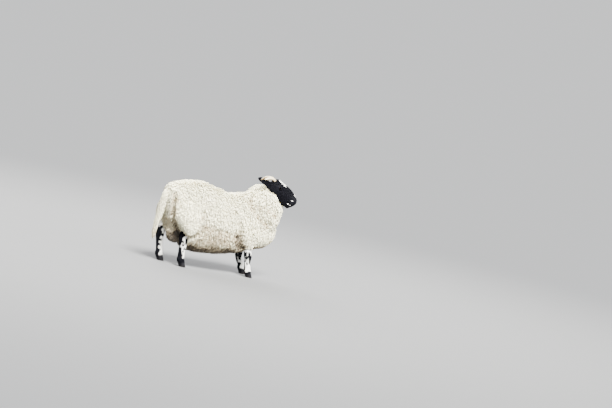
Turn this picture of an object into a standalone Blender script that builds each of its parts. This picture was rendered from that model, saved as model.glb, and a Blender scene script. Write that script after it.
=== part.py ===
"""A standing Blackface sheep at life size, as closed solids that meet without overlapping.

The fleece is one flowing form, made from tubes blended together, and parted by thin plane cuts into
trunk, neck and the four upper legs. The head, tail, lower legs, ears, horns, eyes and claws are solids of
their own, and each is let into its neighbour with a hairline gap.

Axes: +X towards the animal's front, +Y to its left, +Z up, floor at Z = 0. Everything is in metres.
"""

import math

import bmesh
import bpy
import numpy as np
from mathutils import Matrix, Vector

# --- driving dimensions ---------------------------------------------------------------------------

GAP = 0.0005  # hairline between neighbouring solids
ORIGIN = Vector((0.02861, 0.00018, 0.0))  # the middle of the animal's box, seen from between its feet

RUMP_TOP = 0.682
BACK_TOP = 0.618
WITHERS_TOP = 0.636
BELLY = 0.113

HEAD_PLACE = Vector((0.352, -0.060, 0.766))  # the poll, where the head's own axis starts
HEAD_YAW = math.radians(-22)  # turned to its right
HEAD_PITCH = math.radians(29)  # nose down

SIDES = {"left": 1, "right": -1}
# Each foot's place on the floor, and the place of the hock or knee above it: (x, y).
FRONT_FEET = {"left": (0.340, 0.080), "right": (0.316, -0.080)}
KNEES = {"left": (0.284, 0.082), "right": (0.282, -0.082)}
HIND_FEET = {"left": (-0.376, 0.090), "right": (-0.272, -0.090)}
HOCKS = {"left": (-0.408, 0.096), "right": (-0.298, -0.096)}

KNEE_HEIGHT = 0.160
HOCK_HEIGHT = 0.236
FORE_SOCKET = 0.250  # how high the foreleg of short hair reaches into the fleece
HIND_SOCKET = 0.300

EYE_RADIUS = 0.0135
VOXEL = 0.010
FORM_TRIANGLES = 1920

# --- shapes ----------------------------------------------------------------------------------------

# Trunk sections: x, height of the widest level, half width, reach up and reach down from that level.
TRUNK = (
    (-0.472, 0.430, 0.094, 0.130, 0.115),
    (-0.447, 0.435, 0.122, 0.163, 0.135),
    (-0.400, 0.442, 0.150, RUMP_TOP - 0.489, 0.160),
    (-0.340, 0.437, 0.170, RUMP_TOP - 0.457, 0.172),
    (-0.270, 0.420, 0.180, RUMP_TOP - 0.424, 0.205),
    (-0.220, 0.408, 0.184, RUMP_TOP - 0.416, 0.385 - BELLY),
    (-0.160, 0.397, 0.186, RUMP_TOP - 0.421, 0.397 - BELLY),
    (-0.080, 0.386, 0.187, BACK_TOP - 0.360, 0.385 - BELLY),
    (0.020, 0.378, 0.184, BACK_TOP - 0.377, 0.366 - BELLY),
    (0.100, 0.382, 0.178, WITHERS_TOP - 0.393, 0.352 - BELLY),
    (0.180, 0.390, 0.171, WITHERS_TOP - 0.385, 0.342 - BELLY),
    (0.260, 0.395, 0.163, WITHERS_TOP - 0.390, 0.322 - BELLY),
    (0.340, 0.400, 0.150, 0.215, 0.187),
    (0.420, 0.405, 0.124, 0.190, 0.165),
    (0.472, 0.410, 0.090, 0.160, 0.120),
    (0.500, 0.415, 0.055, 0.110, 0.072),
)
# Neck sections: centre, half width, reach towards the nape and towards the throat.
NECK = (
    (0.240, 0.000, 0.400, 0.155, 0.150, 0.200),
    (0.300, -0.012, 0.500, 0.148, 0.165, 0.208),
    (0.346, -0.036, 0.590, 0.130, 0.160, 0.176),
    (0.378, -0.058, 0.660, 0.108, 0.142, 0.134),
    (0.394, -0.070, 0.705, 0.084, 0.108, 0.098),
)
# Tail sections: centre, half width, reach forwards and backwards.
TAIL = (
    (-0.425, 0.000, 0.572, 0.034, 0.024, 0.024),
    (-0.462, 0.003, 0.545, 0.040, 0.028, 0.026),
    (-0.480, 0.010, 0.460, 0.042, 0.030, 0.027),
    (-0.484, 0.024, 0.360, 0.036, 0.026, 0.024),
    (-0.488, 0.038, 0.270, 0.026, 0.019, 0.019),
    (-0.486, 0.045, 0.205, 0.020, 0.015, 0.016),
    (-0.483, 0.047, 0.163, 0.013, 0.010, 0.011),
)

# The woolly bag between the thighs, from inside the belly down: centre, half width, reach forwards and back.
UDDER = (
    (-0.325, 0.0, 0.340, 0.052, 0.100, 0.085),
    (-0.325, 0.0, 0.270, 0.062, 0.105, 0.088),
    (-0.322, 0.0, 0.215, 0.060, 0.100, 0.082),
    (-0.318, 0.0, 0.160, 0.042, 0.070, 0.056),
)
# Head profile: distance from the poll, half width, reach up and down, drop of the widest level.
HEAD = (
    (-0.032, 0.043, 0.013, 0.056, 0.032),
    (0.000, 0.056, 0.030, 0.071, 0.032),
    (0.037, 0.062, 0.071, 0.071, 0.026),
    (0.071, 0.060, 0.072, 0.075, 0.021),
    (0.107, 0.051, 0.067, 0.080, 0.016),
    (0.139, 0.043, 0.065, 0.078, 0.014),
    (0.175, 0.038, 0.060, 0.073, 0.013),
    (0.212, 0.037, 0.050, 0.066, 0.013),
    (0.240, 0.037, 0.040, 0.061, 0.014),
    (0.258, 0.035, 0.034, 0.053, 0.017),
)


def hermite(knots, values, at):
    """Values read at the places `at`, by a cubic that passes through every knot with an even slope."""
    slopes = np.gradient(values, knots, axis=0)
    low = np.clip(np.searchsorted(knots, at, side="right") - 1, 0, len(knots) - 2)
    span = (knots[low + 1] - knots[low])[:, None]
    t = (at - knots[low])[:, None] / span
    return (
        (2 * t**3 - 3 * t**2 + 1) * values[low]
        + (t**3 - 2 * t**2 + t) * span * slopes[low]
        + (3 * t**2 - 2 * t**3) * values[low + 1]
        + (t**3 - t**2) * span * slopes[low + 1]
    )


def unit(rows):
    return rows / np.linalg.norm(rows, axis=-1, keepdims=True)


def running_length(centres):
    steps = np.linalg.norm(np.diff(centres, axis=0), axis=1)
    return np.concatenate([[0.0], np.cumsum(steps)])


def section_places(length, rings, domes):
    """Places of the rings along a tube, and how full each is: the two ends close as quarter circles."""
    start, end = domes
    quarter = np.linspace(0, math.pi / 2, 5)
    opening = start * (1 - np.cos(quarter))[1:] if start else np.array([0.0])
    closing = length - end * (1 - np.cos(quarter))[1:][::-1] if end else np.array([length])
    middle = np.linspace(opening[-1], closing[0], rings + 2)[1:-1]
    at = np.concatenate([opening, middle, closing])
    fill = np.ones_like(at)
    if start:
        fill = np.minimum(fill, np.sqrt(np.clip(1 - (1 - at / start).clip(0) ** 2, 0, 1)))
    if end:
        fill = np.minimum(fill, np.sqrt(np.clip(1 - (1 - (length - at) / end).clip(0) ** 2, 0, 1)))
    return at, fill


def evenly(segments):
    return np.linspace(0, 2 * math.pi, segments, endpoint=False)


def tube_points(stations, rings, angle, reference, domes, power=2.0):
    """Rings round a path. A station is a centre, a half width, and a reach to either side of the centre."""
    stations = np.array(stations, float)
    knots = running_length(stations[:, :3])
    at, fill = section_places(knots[-1], rings, domes)
    rows = hermite(knots, stations, at)
    ends = hermite(knots, stations[:, :3], knots[[0, -1]])
    tangent = unit(np.gradient(rows[:, :3], at, axis=0))
    across = unit(np.cross(np.array(reference, float), tangent))
    upward = np.cross(tangent, across)
    side = np.sign(np.cos(angle)) * np.abs(np.cos(angle)) ** (2 / power)
    rise = np.sign(np.sin(angle)) * np.abs(np.sin(angle)) ** (2 / power)
    reach = np.where(rise > 0, rows[:, 4:5], rows[:, 5:6]) * rise * fill[:, None]
    width = rows[:, 3:4] * side * fill[:, None]
    points = (
        rows[:, None, :3] + across[:, None] * width[..., None] + upward[:, None] * reach[..., None]
    )
    return points, ends


def skin_over(rings, ends, flat=(False, False)):
    """A closed bmesh over rings of points. An end is a pole at the path's end, or a flat face."""
    bm = bmesh.new()
    loops = [[bm.verts.new(p) for p in ring] for ring in rings]
    count = len(loops[0])
    for low, high in zip(loops, loops[1:]):
        for k in range(count):
            n = (k + 1) % count
            bm.faces.new((low[k], low[n], high[n], high[k]))
    for loop, end, is_flat in ((loops[0], ends[0], flat[0]), (loops[-1], ends[1], flat[1])):
        if is_flat:
            bm.faces.new(loop)
            continue
        pole = bm.verts.new(end)
        for k in range(count):
            bm.faces.new((loop[k], loop[(k + 1) % count], pole))
    bmesh.ops.triangulate(bm, faces=bm.faces)
    bmesh.ops.recalc_face_normals(bm, faces=bm.faces)
    return bm


def grown(bm, amount):
    """The same bmesh with each face moved out by the amount."""
    bm.normal_update()
    moved = [v.co + v.normal * amount * v.calc_shell_factor() for v in bm.verts]
    for v, place in zip(bm.verts, moved):
        v.co = place
    return bm


def finish_material(name, colour, roughness):
    material = bpy.data.materials.new(name)
    material.use_nodes = True
    shader = material.node_tree.nodes["Principled BSDF"]
    shader.inputs["Base Color"].default_value = (*colour, 1)
    shader.inputs["Roughness"].default_value = roughness
    shader.inputs["Metallic"].default_value = 0.0
    return material


def add_object(name, bm, material=None, cutter=False):
    mesh = bpy.data.meshes.new(name)
    bm.to_mesh(mesh)
    bm.free()
    mesh.shade_smooth()
    obj = bpy.data.objects.new(name, mesh)
    bpy.context.scene.collection.objects.link(obj)
    if material:
        mesh.materials.append(material)
    if cutter:
        obj.hide_render = True
        obj.display_type = "WIRE"
    return obj


def add_boolean(obj, cutter, operation):
    modifier = obj.modifiers.new(f"{operation.lower()}_{cutter.name}", "BOOLEAN")
    modifier.object = cutter
    modifier.operation = operation
    modifier.solver = "EXACT"


def settled(obj):
    """Replaces the object's mesh with what its modifiers make of it."""
    bpy.context.view_layer.update()
    graph = bpy.context.evaluated_depsgraph_get()
    mesh = bpy.data.meshes.new_from_object(obj.evaluated_get(graph))
    obj.modifiers.clear()
    obj.data = mesh
    return obj


# --- the fleece form ---------------------------------------------------------------------------------


def thigh_stations(side):
    """Hip to hock. The far leg stands further back, so its lower sections do too."""
    s = SIDES[side]
    hock_x, hock_y = HOCKS[side]
    back = hock_x - HOCKS["right"][0]  # how far this leg trails the right one
    bare = 1.0 if side == "right" else 0.45  # how far the wool is drawn off the back of the hock
    return (
        (-0.318 + 0.1 * back, 0.070 * s, 0.520, 0.088, 0.125, 0.118),
        (-0.312 + 0.3 * back, 0.098 * s, 0.430, 0.090, 0.134, 0.124),
        (-0.304 + 0.6 * back, 0.110 * s, 0.355, 0.086, 0.144, 0.114),
        (-0.300 + 0.8 * back, 0.111 * s, 0.302, 0.078, 0.130, 0.088 - 0.026 * bare),
        (-0.296 + 0.9 * back, 0.106 * s, 0.262, 0.063, 0.100, 0.058 - 0.034 * bare),
        (-0.294 + back, 0.101 * s, 0.238, 0.045, 0.064, 0.040 - 0.028 * bare),
    )


def forearm_stations(side):
    """Shoulder to just above the knee."""
    s = SIDES[side]
    knee_x, knee_y = KNEES[side]
    return (
        (0.262, 0.072 * s, 0.400, 0.070, 0.105, 0.095),
        (0.5 * (0.262 + knee_x - 0.014), 0.082 * s, 0.300, 0.058, 0.082, 0.074),
        (knee_x - 0.014, 0.083 * s, 0.245, 0.045, 0.056, 0.052),
        (knee_x - 0.010, knee_y, 0.208, 0.033, 0.037, 0.036),
    )


def trunk_stations():
    return [(x, 0.0, level, half, up, down) for x, level, half, up, down in TRUNK]


def fleece_form():
    """Trunk, neck and upper legs blended into one closed surface."""
    parts = [
        (trunk_stations(), (0, 0, 1), (0.035, 0.035), 2.2),
        (NECK, (0, 0, 1), (0.05, 0.05), 2.1),
    ]
    parts += [(UDDER, (1, 0, 0), (0.03, 0.035), 2.2)]
    parts += [(thigh_stations(side), (1, 0, 0), (0.05, 0.020), 2.0) for side in SIDES]
    parts += [(forearm_stations(side), (1, 0, 0), (0.05, 0.012), 2.0) for side in SIDES]
    joined = bmesh.new()
    for stations, reference, domes, power in parts:
        rings, ends = tube_points(stations, 30, evenly(40), reference, domes, power)
        piece = skin_over(rings, ends)
        scratch = bpy.data.meshes.new("piece")
        piece.to_mesh(scratch)
        piece.free()
        joined.from_mesh(scratch)
        bpy.data.meshes.remove(scratch)
    form = add_object("form", joined, cutter=True)
    remesh = form.modifiers.new("blend", "REMESH")
    remesh.mode = "VOXEL"
    remesh.voxel_size = VOXEL
    smooth = form.modifiers.new("soften", "SMOOTH")
    smooth.factor = 0.5
    smooth.iterations = 8
    settled(form)
    form.data.calc_loop_triangles()
    thin = form.modifiers.new("thin_out", "DECIMATE")
    thin.ratio = FORM_TRIANGLES / len(form.data.loop_triangles)
    return settled(form)


def wedge(name, corner, size, turn=0.0, grow=0.0):
    """A box cutter with one corner at `corner`, turned about Y through that corner."""
    bm = bmesh.new()
    bmesh.ops.create_cube(bm, size=1.0)
    low = Vector((-grow, -grow, -grow))
    for v in bm.verts:
        v.co = low + Vector((v.co[i] + 0.5) * (size[i] + 2 * grow) for i in range(3))
    bm.transform(Matrix.Translation(corner) @ Matrix.Rotation(turn, 4, "Y"))
    return add_object(name, bm, cutter=True)


# Boxes that part the form: corner, size, turn about Y.
LEG_INNER = 0.034  # where the upper legs part from the belly, from the middle plane
CUTS = {
    "neck": ((0.150, -0.5, 0.650), (1.2, 1.0, 1.0), math.radians(42)),
    "thigh_left": ((-0.70, LEG_INNER, -0.1), (0.525, 0.5, 0.495), 0.0),
    "thigh_right": ((-0.70, -0.5 - LEG_INNER, -0.1), (0.525, 0.5, 0.495), 0.0),
    "forearm_left": ((0.175, LEG_INNER, -0.1), (0.180, 0.5, 0.385), 0.0),
    "forearm_right": ((0.175, -0.5 - LEG_INNER, -0.1), (0.180, 0.5, 0.385), 0.0),
}


def copied(form, name, material):
    piece = bpy.data.objects.new(name, form.data.copy())
    bpy.context.scene.collection.objects.link(piece)
    piece.data.materials.append(material)
    return piece


def part_fleece(form, fleece, lets):
    """The form parted by plane cuts. `lets` names, for each node, the cutters that let its neighbours in."""
    trunk = copied(form, "trunk", fleece)
    for name, (corner, size, turn) in CUTS.items():
        piece = copied(form, name, fleece)
        add_boolean(trunk, wedge(f"cut_{name}", corner, size, turn), "DIFFERENCE")
        add_boolean(piece, wedge(f"keep_{name}", corner, size, turn, -GAP), "INTERSECT")
        for cutter in lets[name]:
            add_boolean(piece, cutter, "DIFFERENCE")
    for cutter in lets["trunk"]:
        add_boolean(trunk, cutter, "DIFFERENCE")


# --- legs of short hair and claws --------------------------------------------------------------------


def hind_shank_stations(side):
    """Hock to pastern: centre, half width, reach forwards, reach backwards."""
    hock_x, hock_y = HOCKS[side]
    foot_x, foot_y = HIND_FEET[side]
    fetlock_x = foot_x - 0.012
    mid_x = 0.45 * hock_x + 0.55 * fetlock_x
    return (
        (hock_x + 0.010, hock_y, HIND_SOCKET, 0.0240, 0.0283, 0.0330),
        (hock_x + 0.006, hock_y, 0.268, 0.0270, 0.0330, 0.0400),
        (hock_x + 0.002, hock_y, HOCK_HEIGHT + 0.006, 0.0289, 0.0349, 0.0403),
        (hock_x + 0.001, hock_y, HOCK_HEIGHT - 0.030, 0.0273, 0.0316, 0.0371),
        (hock_x + 0.005, hock_y, 0.165, 0.0234, 0.0262, 0.0305),
        (mid_x, 0.5 * (hock_y + foot_y), 0.118, 0.0213, 0.0234, 0.0262),
        (fetlock_x - 0.001, foot_y, 0.078, 0.0223, 0.0240, 0.0273),
        (fetlock_x + 0.001, foot_y, 0.058, 0.0256, 0.0262, 0.0300),
        (foot_x, foot_y, 0.034, 0.0256, 0.0262, 0.0240),
    )


def fore_shank_stations(side):
    """Knee to pastern: centre, half width, reach forwards, reach backwards."""
    knee_x, knee_y = KNEES[side]
    foot_x, foot_y = FRONT_FEET[side]
    fetlock_x = foot_x - 0.014
    mid_x = 0.5 * (knee_x + fetlock_x)
    return (
        (knee_x - 0.018, knee_y, FORE_SOCKET, 0.0251, 0.0273, 0.0273),
        (knee_x - 0.008, knee_y, KNEE_HEIGHT + 0.032, 0.0267, 0.0289, 0.0294),
        (knee_x, knee_y, KNEE_HEIGHT, 0.0289, 0.0311, 0.0283),
        (knee_x + 0.006, knee_y, 0.130, 0.0240, 0.0251, 0.0245),
        (mid_x, 0.5 * (knee_y + foot_y), 0.098, 0.0207, 0.0218, 0.0229),
        (fetlock_x - 0.001, foot_y, 0.074, 0.0223, 0.0234, 0.0256),
        (fetlock_x + 0.002, foot_y, 0.057, 0.0251, 0.0256, 0.0283),
        (foot_x, foot_y, 0.034, 0.0256, 0.0262, 0.0240),
    )


CORONET_SLOPE = math.radians(24)  # the hoof's upper edge falls towards the heel
CLAW_LENGTH_TOP, CLAW_LENGTH_SOLE = 0.0225, 0.0275
CLAW_WIDTH_TOP, CLAW_WIDTH_SOLE = 0.0110, 0.0122
CLAW_CLEFT = 0.0012  # from the foot's middle to the inner wall
CLAW_FLATNESS = 0.12
CORONET_HEIGHT = 0.033
TOE_REACH = 0.014


def shank_bmesh(stations, grow=0.0):
    """A lower leg, flat at its socket above and on the coronet's sloping plane below."""
    rings, ends = tube_points(stations, 10, evenly(12), (1, 0, 0), (0, 0), 2.1)
    rings[0][:, 2] = stations[0][2]
    foot_x = stations[-1][0]
    last = rings[-1]
    last[:, 2] = CORONET_HEIGHT + GAP + math.tan(CORONET_SLOPE) * (last[:, 0] - foot_x)
    bm = skin_over(rings, ends, flat=(True, True))
    return grown(bm, grow) if grow else bm


def claw(name, foot, outward, horn_black):
    """One claw of a cloven hoof: inner wall flat, outer wall round, pointed toe, flat sole."""
    foot_x, foot_y = foot
    angle = evenly(12)
    along = np.cos(angle)
    aside = np.sin(angle)
    # The cleft side is pressed flat, and the toe drawn in to a point.
    aside = np.where(aside * outward < 0, CLAW_FLATNESS * aside, aside)
    narrowing = 1 - 0.45 * np.clip(along, 0, 1) ** 2
    rings = []
    for share in np.linspace(0, 1, 4):
        length = CLAW_LENGTH_SOLE + (CLAW_LENGTH_TOP - CLAW_LENGTH_SOLE) * share
        width = CLAW_WIDTH_SOLE + (CLAW_WIDTH_TOP - CLAW_WIDTH_SOLE) * share
        centre_x = foot_x + TOE_REACH * (1 - share)
        x = centre_x + length * along
        inner_wall = CLAW_CLEFT + 2 * width * CLAW_FLATNESS
        y = foot_y + outward * inner_wall + 2 * width * aside * narrowing
        coronet = CORONET_HEIGHT + math.tan(CORONET_SLOPE) * (x - foot_x) - GAP
        z = coronet * share
        rings.append(np.stack([x, y, z], axis=1))
    ends = (rings[0].mean(axis=0), rings[-1].mean(axis=0))
    return add_object(name, skin_over(rings, ends, flat=(True, True)), horn_black)


# --- head ----------------------------------------------------------------------------------------------


def head_matrix():
    return (
        Matrix.Translation(HEAD_PLACE)
        @ Matrix.Rotation(HEAD_YAW, 4, "Z")
        @ Matrix.Rotation(HEAD_PITCH, 4, "Y")
    )


EYE_PLACE = Vector((0.078, 0.0510, 0.006))  # in the head's frame, left eye
LIP_ANGLE = math.radians(-19)  # where the lips meet, round the muzzle from its left side
LIP_DEPTH, LIP_WIDTH, MOUTH_CORNER = 0.0045, math.radians(3.5), 0.178
NOSTRIL_PLACE = Vector((0.260, 0.0170, -0.003))
NOSTRIL_RADII = (0.0130, 0.0045, 0.0075)
NOSTRIL_TURN = Matrix.Rotation(math.radians(30), 4, "Z") @ Matrix.Rotation(math.radians(35), 4, "X")


def bump(along, across, centre, spread):
    return np.exp(
        -(((along - centre[0]) / spread[0]) ** 2) - ((across - centre[1]) / spread[1]) ** 2
    )


def head_angles():
    """Angles round the head: evenly spaced ones, and three more on each side for the lips."""
    lips = LIP_ANGLE + LIP_WIDTH * np.array([-1, 0, 1])
    even = np.radians(np.arange(-72, 91, 18))
    even = even[np.abs(even - LIP_ANGLE) > 1.5 * LIP_WIDTH]
    left = np.sort(np.concatenate([even, lips, np.radians([-89.9])]))
    return np.concatenate([left, math.pi - left[-2:0:-1]])


def head_bmesh(grow=0.0):
    """The head in its own frame: X from poll to nose, Z to the brow, with brow, cheeks and lips."""
    stations = [(x, 0.0, -drop, half, up, down) for x, half, up, down, drop in HEAD]
    angle = head_angles()
    rings, ends = tube_points(stations, 13, angle, (0, 0, 1), (0.02, 0.030), 2.2)
    x, y, z = rings[..., 0], rings[..., 1], rings[..., 2]
    side = np.sign(y)
    outer = np.abs(y) > 0.01
    # Brow over the eye, bed of the eye, hollow in front of it, cheek below, wings of the nostrils.
    y += side * outer * 0.006 * bump(x, z, (0.076, 0.024), (0.022, 0.012))
    y -= side * outer * 0.003 * bump(x, z, (0.078, 0.004), (0.016, 0.010))
    y -= side * outer * 0.006 * bump(x, z, (0.120, 0.012), (0.022, 0.022))
    y += side * outer * 0.006 * bump(x, z, (0.058, -0.046), (0.040, 0.022))
    y += side * outer * 0.004 * bump(x, z, (0.252, -0.004), (0.012, 0.014))
    # The lips meet in a groove that fades out at the corner of the mouth.
    off = np.minimum(np.abs(angle - LIP_ANGLE), np.abs(angle - (math.pi - LIP_ANGLE)))
    groove = LIP_DEPTH * np.exp(-((off / LIP_WIDTH * 1.6) ** 2))
    inner = np.array([0.205, 0.0, -0.036])
    away = rings - inner
    away /= np.maximum(np.linalg.norm(away, axis=-1, keepdims=True), 1e-6)
    fade = np.clip((x - MOUTH_CORNER) / 0.02, 0, 1)
    rings -= away * (groove * fade)[..., None]
    bm = skin_over(rings, ends)
    if grow:
        grown(bm, grow)
    bm.transform(head_matrix())
    return bm


def nostril_bmesh(side):
    bm = bmesh.new()
    bmesh.ops.create_uvsphere(bm, u_segments=8, v_segments=6, radius=1.0)
    place = Matrix.Translation(NOSTRIL_PLACE) @ NOSTRIL_TURN @ Matrix.Diagonal((*NOSTRIL_RADII, 1))
    bm.transform(place)
    if SIDES[side] < 0:
        bm.transform(Matrix.Scale(-1, 4, (0, 1, 0)))
        bmesh.ops.reverse_faces(bm, faces=bm.faces)
    bm.transform(head_matrix())
    return bm


# Horn: back, up and out from its root, with the radius there.
HORN = (
    (-0.018, -0.014, -0.003, 0.0165),
    (0.000, -0.002, 0.000, 0.0170),
    (0.020, 0.000, 0.012, 0.0160),
    (0.042, -0.005, 0.028, 0.0138),
    (0.062, -0.017, 0.040, 0.0106),
    (0.073, -0.033, 0.046, 0.0073),
    (0.074, -0.048, 0.046, 0.0042),
)
HORN_ROOT = Vector((-0.008, 0.027, 0.022))  # in the head's frame, left horn
HORN_FLATNESS = 0.78


def horn_bmesh(side, grow=0.0):
    """A short horn sweeping back, out and down, ringed with low ridges."""
    s = SIDES[side]
    root = head_matrix() @ Vector((HORN_ROOT.x, HORN_ROOT.y * s, HORN_ROOT.z))
    turn = Matrix.Rotation(HEAD_YAW, 3, "Z")
    stations = []
    for back, up, out, radius in HORN:
        place = root + turn @ Vector((-back, out * s, up))
        stations.append((*place, radius * HORN_FLATNESS, radius, radius))
    rings, ends = tube_points(stations, 10, evenly(10), tuple(turn @ Vector((0, s, 0))), (0, 0.004))
    bm = skin_over(rings, ends, flat=(True, False))
    return grown(bm, grow) if grow else bm


EAR_ROOT = Vector((0.010, 0.050, -0.028))  # in the head's frame, left ear
EAR_DIRECTION = Vector((-0.72, 0.58, 0.30))  # in the frame turned with the head but not nodding
EAR_FACING = Vector((0.50, 0.62, -0.20))  # which way its hollow faces
EAR_LENGTH = 0.116
EAR_WIDTH = 0.022  # half the leaf's width
EAR_THICKNESS = 0.0032


def ear_bmesh(side, grow=0.0):
    """A leaf-shaped ear held out and back, cupped a little to the front."""
    s = SIDES[side]
    turn = Matrix.Rotation(HEAD_YAW, 3, "Z")
    root = head_matrix() @ Vector((EAR_ROOT.x, EAR_ROOT.y * s, EAR_ROOT.z))
    out = turn @ Vector((EAR_DIRECTION.x, EAR_DIRECTION.y * s, EAR_DIRECTION.z)).normalized()
    facing = turn @ Vector((EAR_FACING.x, EAR_FACING.y * s, EAR_FACING.z))
    facing = (facing - out * facing.dot(out)).normalized()
    across = np.array(out.cross(facing))
    share = np.linspace(-0.12, 1.0, 9)
    leaf = EAR_WIDTH * np.sqrt(np.clip(1 - ((share - 0.42) / 0.60) ** 2, 0.01, 1))
    leaf = np.where(share < 0.1, 0.62 * EAR_WIDTH, leaf)
    stations = []
    for k, half in zip(share, leaf):
        place = root + out * (k * EAR_LENGTH) - Vector((0, 0, 0.010 * k**2))
        thick = EAR_THICKNESS * (1.9 - k)
        stations.append((*place, half, thick, thick))
    rings, ends = tube_points(stations, 7, evenly(10), tuple(facing), (0, 0.006))
    # Cup the leaf: its middle lies back from the line between its edges.
    middle = rings.mean(axis=1, keepdims=True)
    height = (rings - middle) @ across
    depth = 0.006 * (1 - (height / EAR_WIDTH) ** 2)
    rings -= depth[..., None] * np.array(facing)
    bm = skin_over(rings, (rings[0].mean(axis=0), rings[-1].mean(axis=0)), flat=(True, False))
    return grown(bm, grow) if grow else bm


def eye_bmesh(side, radius):
    bm = bmesh.new()
    bmesh.ops.create_uvsphere(bm, u_segments=12, v_segments=8, radius=radius)
    place = Vector((EYE_PLACE.x, EYE_PLACE.y * SIDES[side], EYE_PLACE.z))
    bm.transform(head_matrix() @ Matrix.Translation(place))
    return bm


def tail_bmesh(grow=0.0):
    rings, ends = tube_points(TAIL, 9, evenly(12), (1, 0, 0), (0.012, 0.02))
    bm = skin_over(rings, ends)
    return grown(bm, grow) if grow else bm


# --- assembly ------------------------------------------------------------------------------------------


def clear_scene():
    for obj in list(bpy.data.objects):
        bpy.data.objects.remove(obj)


def build_head(face, horn, eye):
    """Head, horns, ears and eyes, and the cutters that let them into their neighbours."""
    head = add_object("head", head_bmesh(), face)
    lets_neck = [add_object("let_head", head_bmesh(GAP), cutter=True)]
    for side in SIDES:
        add_object(f"horn_{side}", horn_bmesh(side), horn)
        horn_cutter = add_object(f"let_horn_{side}", horn_bmesh(side, GAP), cutter=True)
        add_object(f"ear_{side}", ear_bmesh(side), face)
        ear_cutter = add_object(f"let_ear_{side}", ear_bmesh(side, GAP), cutter=True)
        add_object(f"eye_{side}", eye_bmesh(side, EYE_RADIUS), eye)
        eye_cutter = add_object(f"let_eye_{side}", eye_bmesh(side, EYE_RADIUS + GAP), cutter=True)
        nostril_cutter = add_object(f"nostril_{side}", nostril_bmesh(side), cutter=True)
        for cutter in (horn_cutter, ear_cutter, eye_cutter, nostril_cutter):
            add_boolean(head, cutter, "DIFFERENCE")
        lets_neck += [ear_cutter, horn_cutter]
    return lets_neck


def build_legs(hair, hoof):
    """Lower legs and claws, and the cutters that let each leg into the fleece above it."""
    lets = {}
    for side in SIDES:
        for upper, name, stations, feet in (
            ("thigh", "hind_shank", hind_shank_stations(side), HIND_FEET),
            ("forearm", "fore_shank", fore_shank_stations(side), FRONT_FEET),
        ):
            add_object(f"{name}_{side}", shank_bmesh(stations), hair)
            cutter = add_object(f"let_{name}_{side}", shank_bmesh(stations, GAP), cutter=True)
            lets[f"{upper}_{side}"] = [cutter]
            for place, outward in (("outer", SIDES[side]), ("inner", -SIDES[side])):
                end = name.split("_")[0]
                claw(f"{end}_claw_{side}_{place}", feet[side], outward, hoof)
    return lets


def main():
    clear_scene()
    fleece = finish_material("fleece", (0.86, 0.83, 0.76), 0.95)
    face = finish_material("black_hair", (0.020, 0.019, 0.022), 0.75)
    hair = finish_material("pied_hair", (0.42, 0.41, 0.39), 0.80)
    horn = finish_material("horn", (0.62, 0.50, 0.33), 0.50)
    hoof = finish_material("hoof", (0.035, 0.032, 0.030), 0.45)
    eye = finish_material("eye", (0.10, 0.055, 0.02), 0.08)
    form = fleece_form()
    lets = build_legs(hair, hoof)
    lets["neck"] = build_head(face, horn, eye)
    add_object("tail", tail_bmesh(), fleece)
    tail_cutter = add_object("let_tail", tail_bmesh(GAP), cutter=True)
    lets["trunk"] = [tail_cutter]
    for side in SIDES:
        lets[f"thigh_{side}"].append(tail_cutter)
    part_fleece(form, fleece, lets)
    for obj in bpy.data.objects:
        obj.location = -ORIGIN


main()
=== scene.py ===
"""A standing Blackface ewe in full fleece, at life size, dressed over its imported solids.

One skin carries the whole figure. Over it lie the fleece, as overlapping locks made of tapered strands,
and the short hair of face, ears and legs, as small tufts. Eyes, horns and claws are pieces of their own.

Axes: +X towards the animal's front, +Y to its left, +Z up, floor at Z = 0. Everything is in metres.
Shapes are worked out in the animal's own axes and moved by ORIGIN as they are put into meshes.
"""

from __future__ import annotations

import logging
import math
from dataclasses import dataclass, field, replace
from enum import Enum
from functools import partial
from typing import Callable, Sequence

import bpy
import numpy as np
from mathutils import Matrix


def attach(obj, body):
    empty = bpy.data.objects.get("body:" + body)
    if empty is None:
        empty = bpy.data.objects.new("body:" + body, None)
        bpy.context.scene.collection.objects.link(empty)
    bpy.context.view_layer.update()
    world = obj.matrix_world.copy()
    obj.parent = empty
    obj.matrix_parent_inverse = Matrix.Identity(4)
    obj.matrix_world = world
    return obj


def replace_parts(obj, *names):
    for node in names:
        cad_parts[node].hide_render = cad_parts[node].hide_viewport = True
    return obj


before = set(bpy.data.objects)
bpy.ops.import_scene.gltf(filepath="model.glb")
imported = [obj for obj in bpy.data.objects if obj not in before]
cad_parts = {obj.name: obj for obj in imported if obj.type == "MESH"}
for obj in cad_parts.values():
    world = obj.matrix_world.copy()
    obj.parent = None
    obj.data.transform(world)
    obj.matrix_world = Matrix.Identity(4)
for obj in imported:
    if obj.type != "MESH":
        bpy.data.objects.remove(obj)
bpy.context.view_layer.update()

log = logging.getLogger("ewe")

Rows = np.ndarray
Object, Material = bpy.types.Object, bpy.types.Material
Node, Tree, Socket = bpy.types.Node, bpy.types.NodeTree, bpy.types.NodeSocket
Sockets = bpy.types.bpy_prop_collection

ORIGIN = np.array([0.02861, 0.00018, 0.0])  # the middle of the animal's box, between its feet
SIDES = {"left": 1.0, "right": -1.0}


# --- numbers ---


def unit(rows: Rows) -> Rows:
    """Rows scaled to length one."""
    return rows / np.maximum(np.linalg.norm(rows, axis=-1, keepdims=True), 1e-9)


def beside(*columns: Rows) -> Rows:
    """Arrays of one shape set side by side, as the last axis."""
    return np.stack(columns, axis=-1)


def eased(low: float | Rows, high: float | Rows, value: Rows) -> Rows:
    """A smooth step: 3t^2 - 2t^3, where t runs from 0 at `low` to 1 at `high`."""
    t = np.clip((value - low) / (high - low), 0, 1)
    return t * t * (3 - 2 * t)


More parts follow.
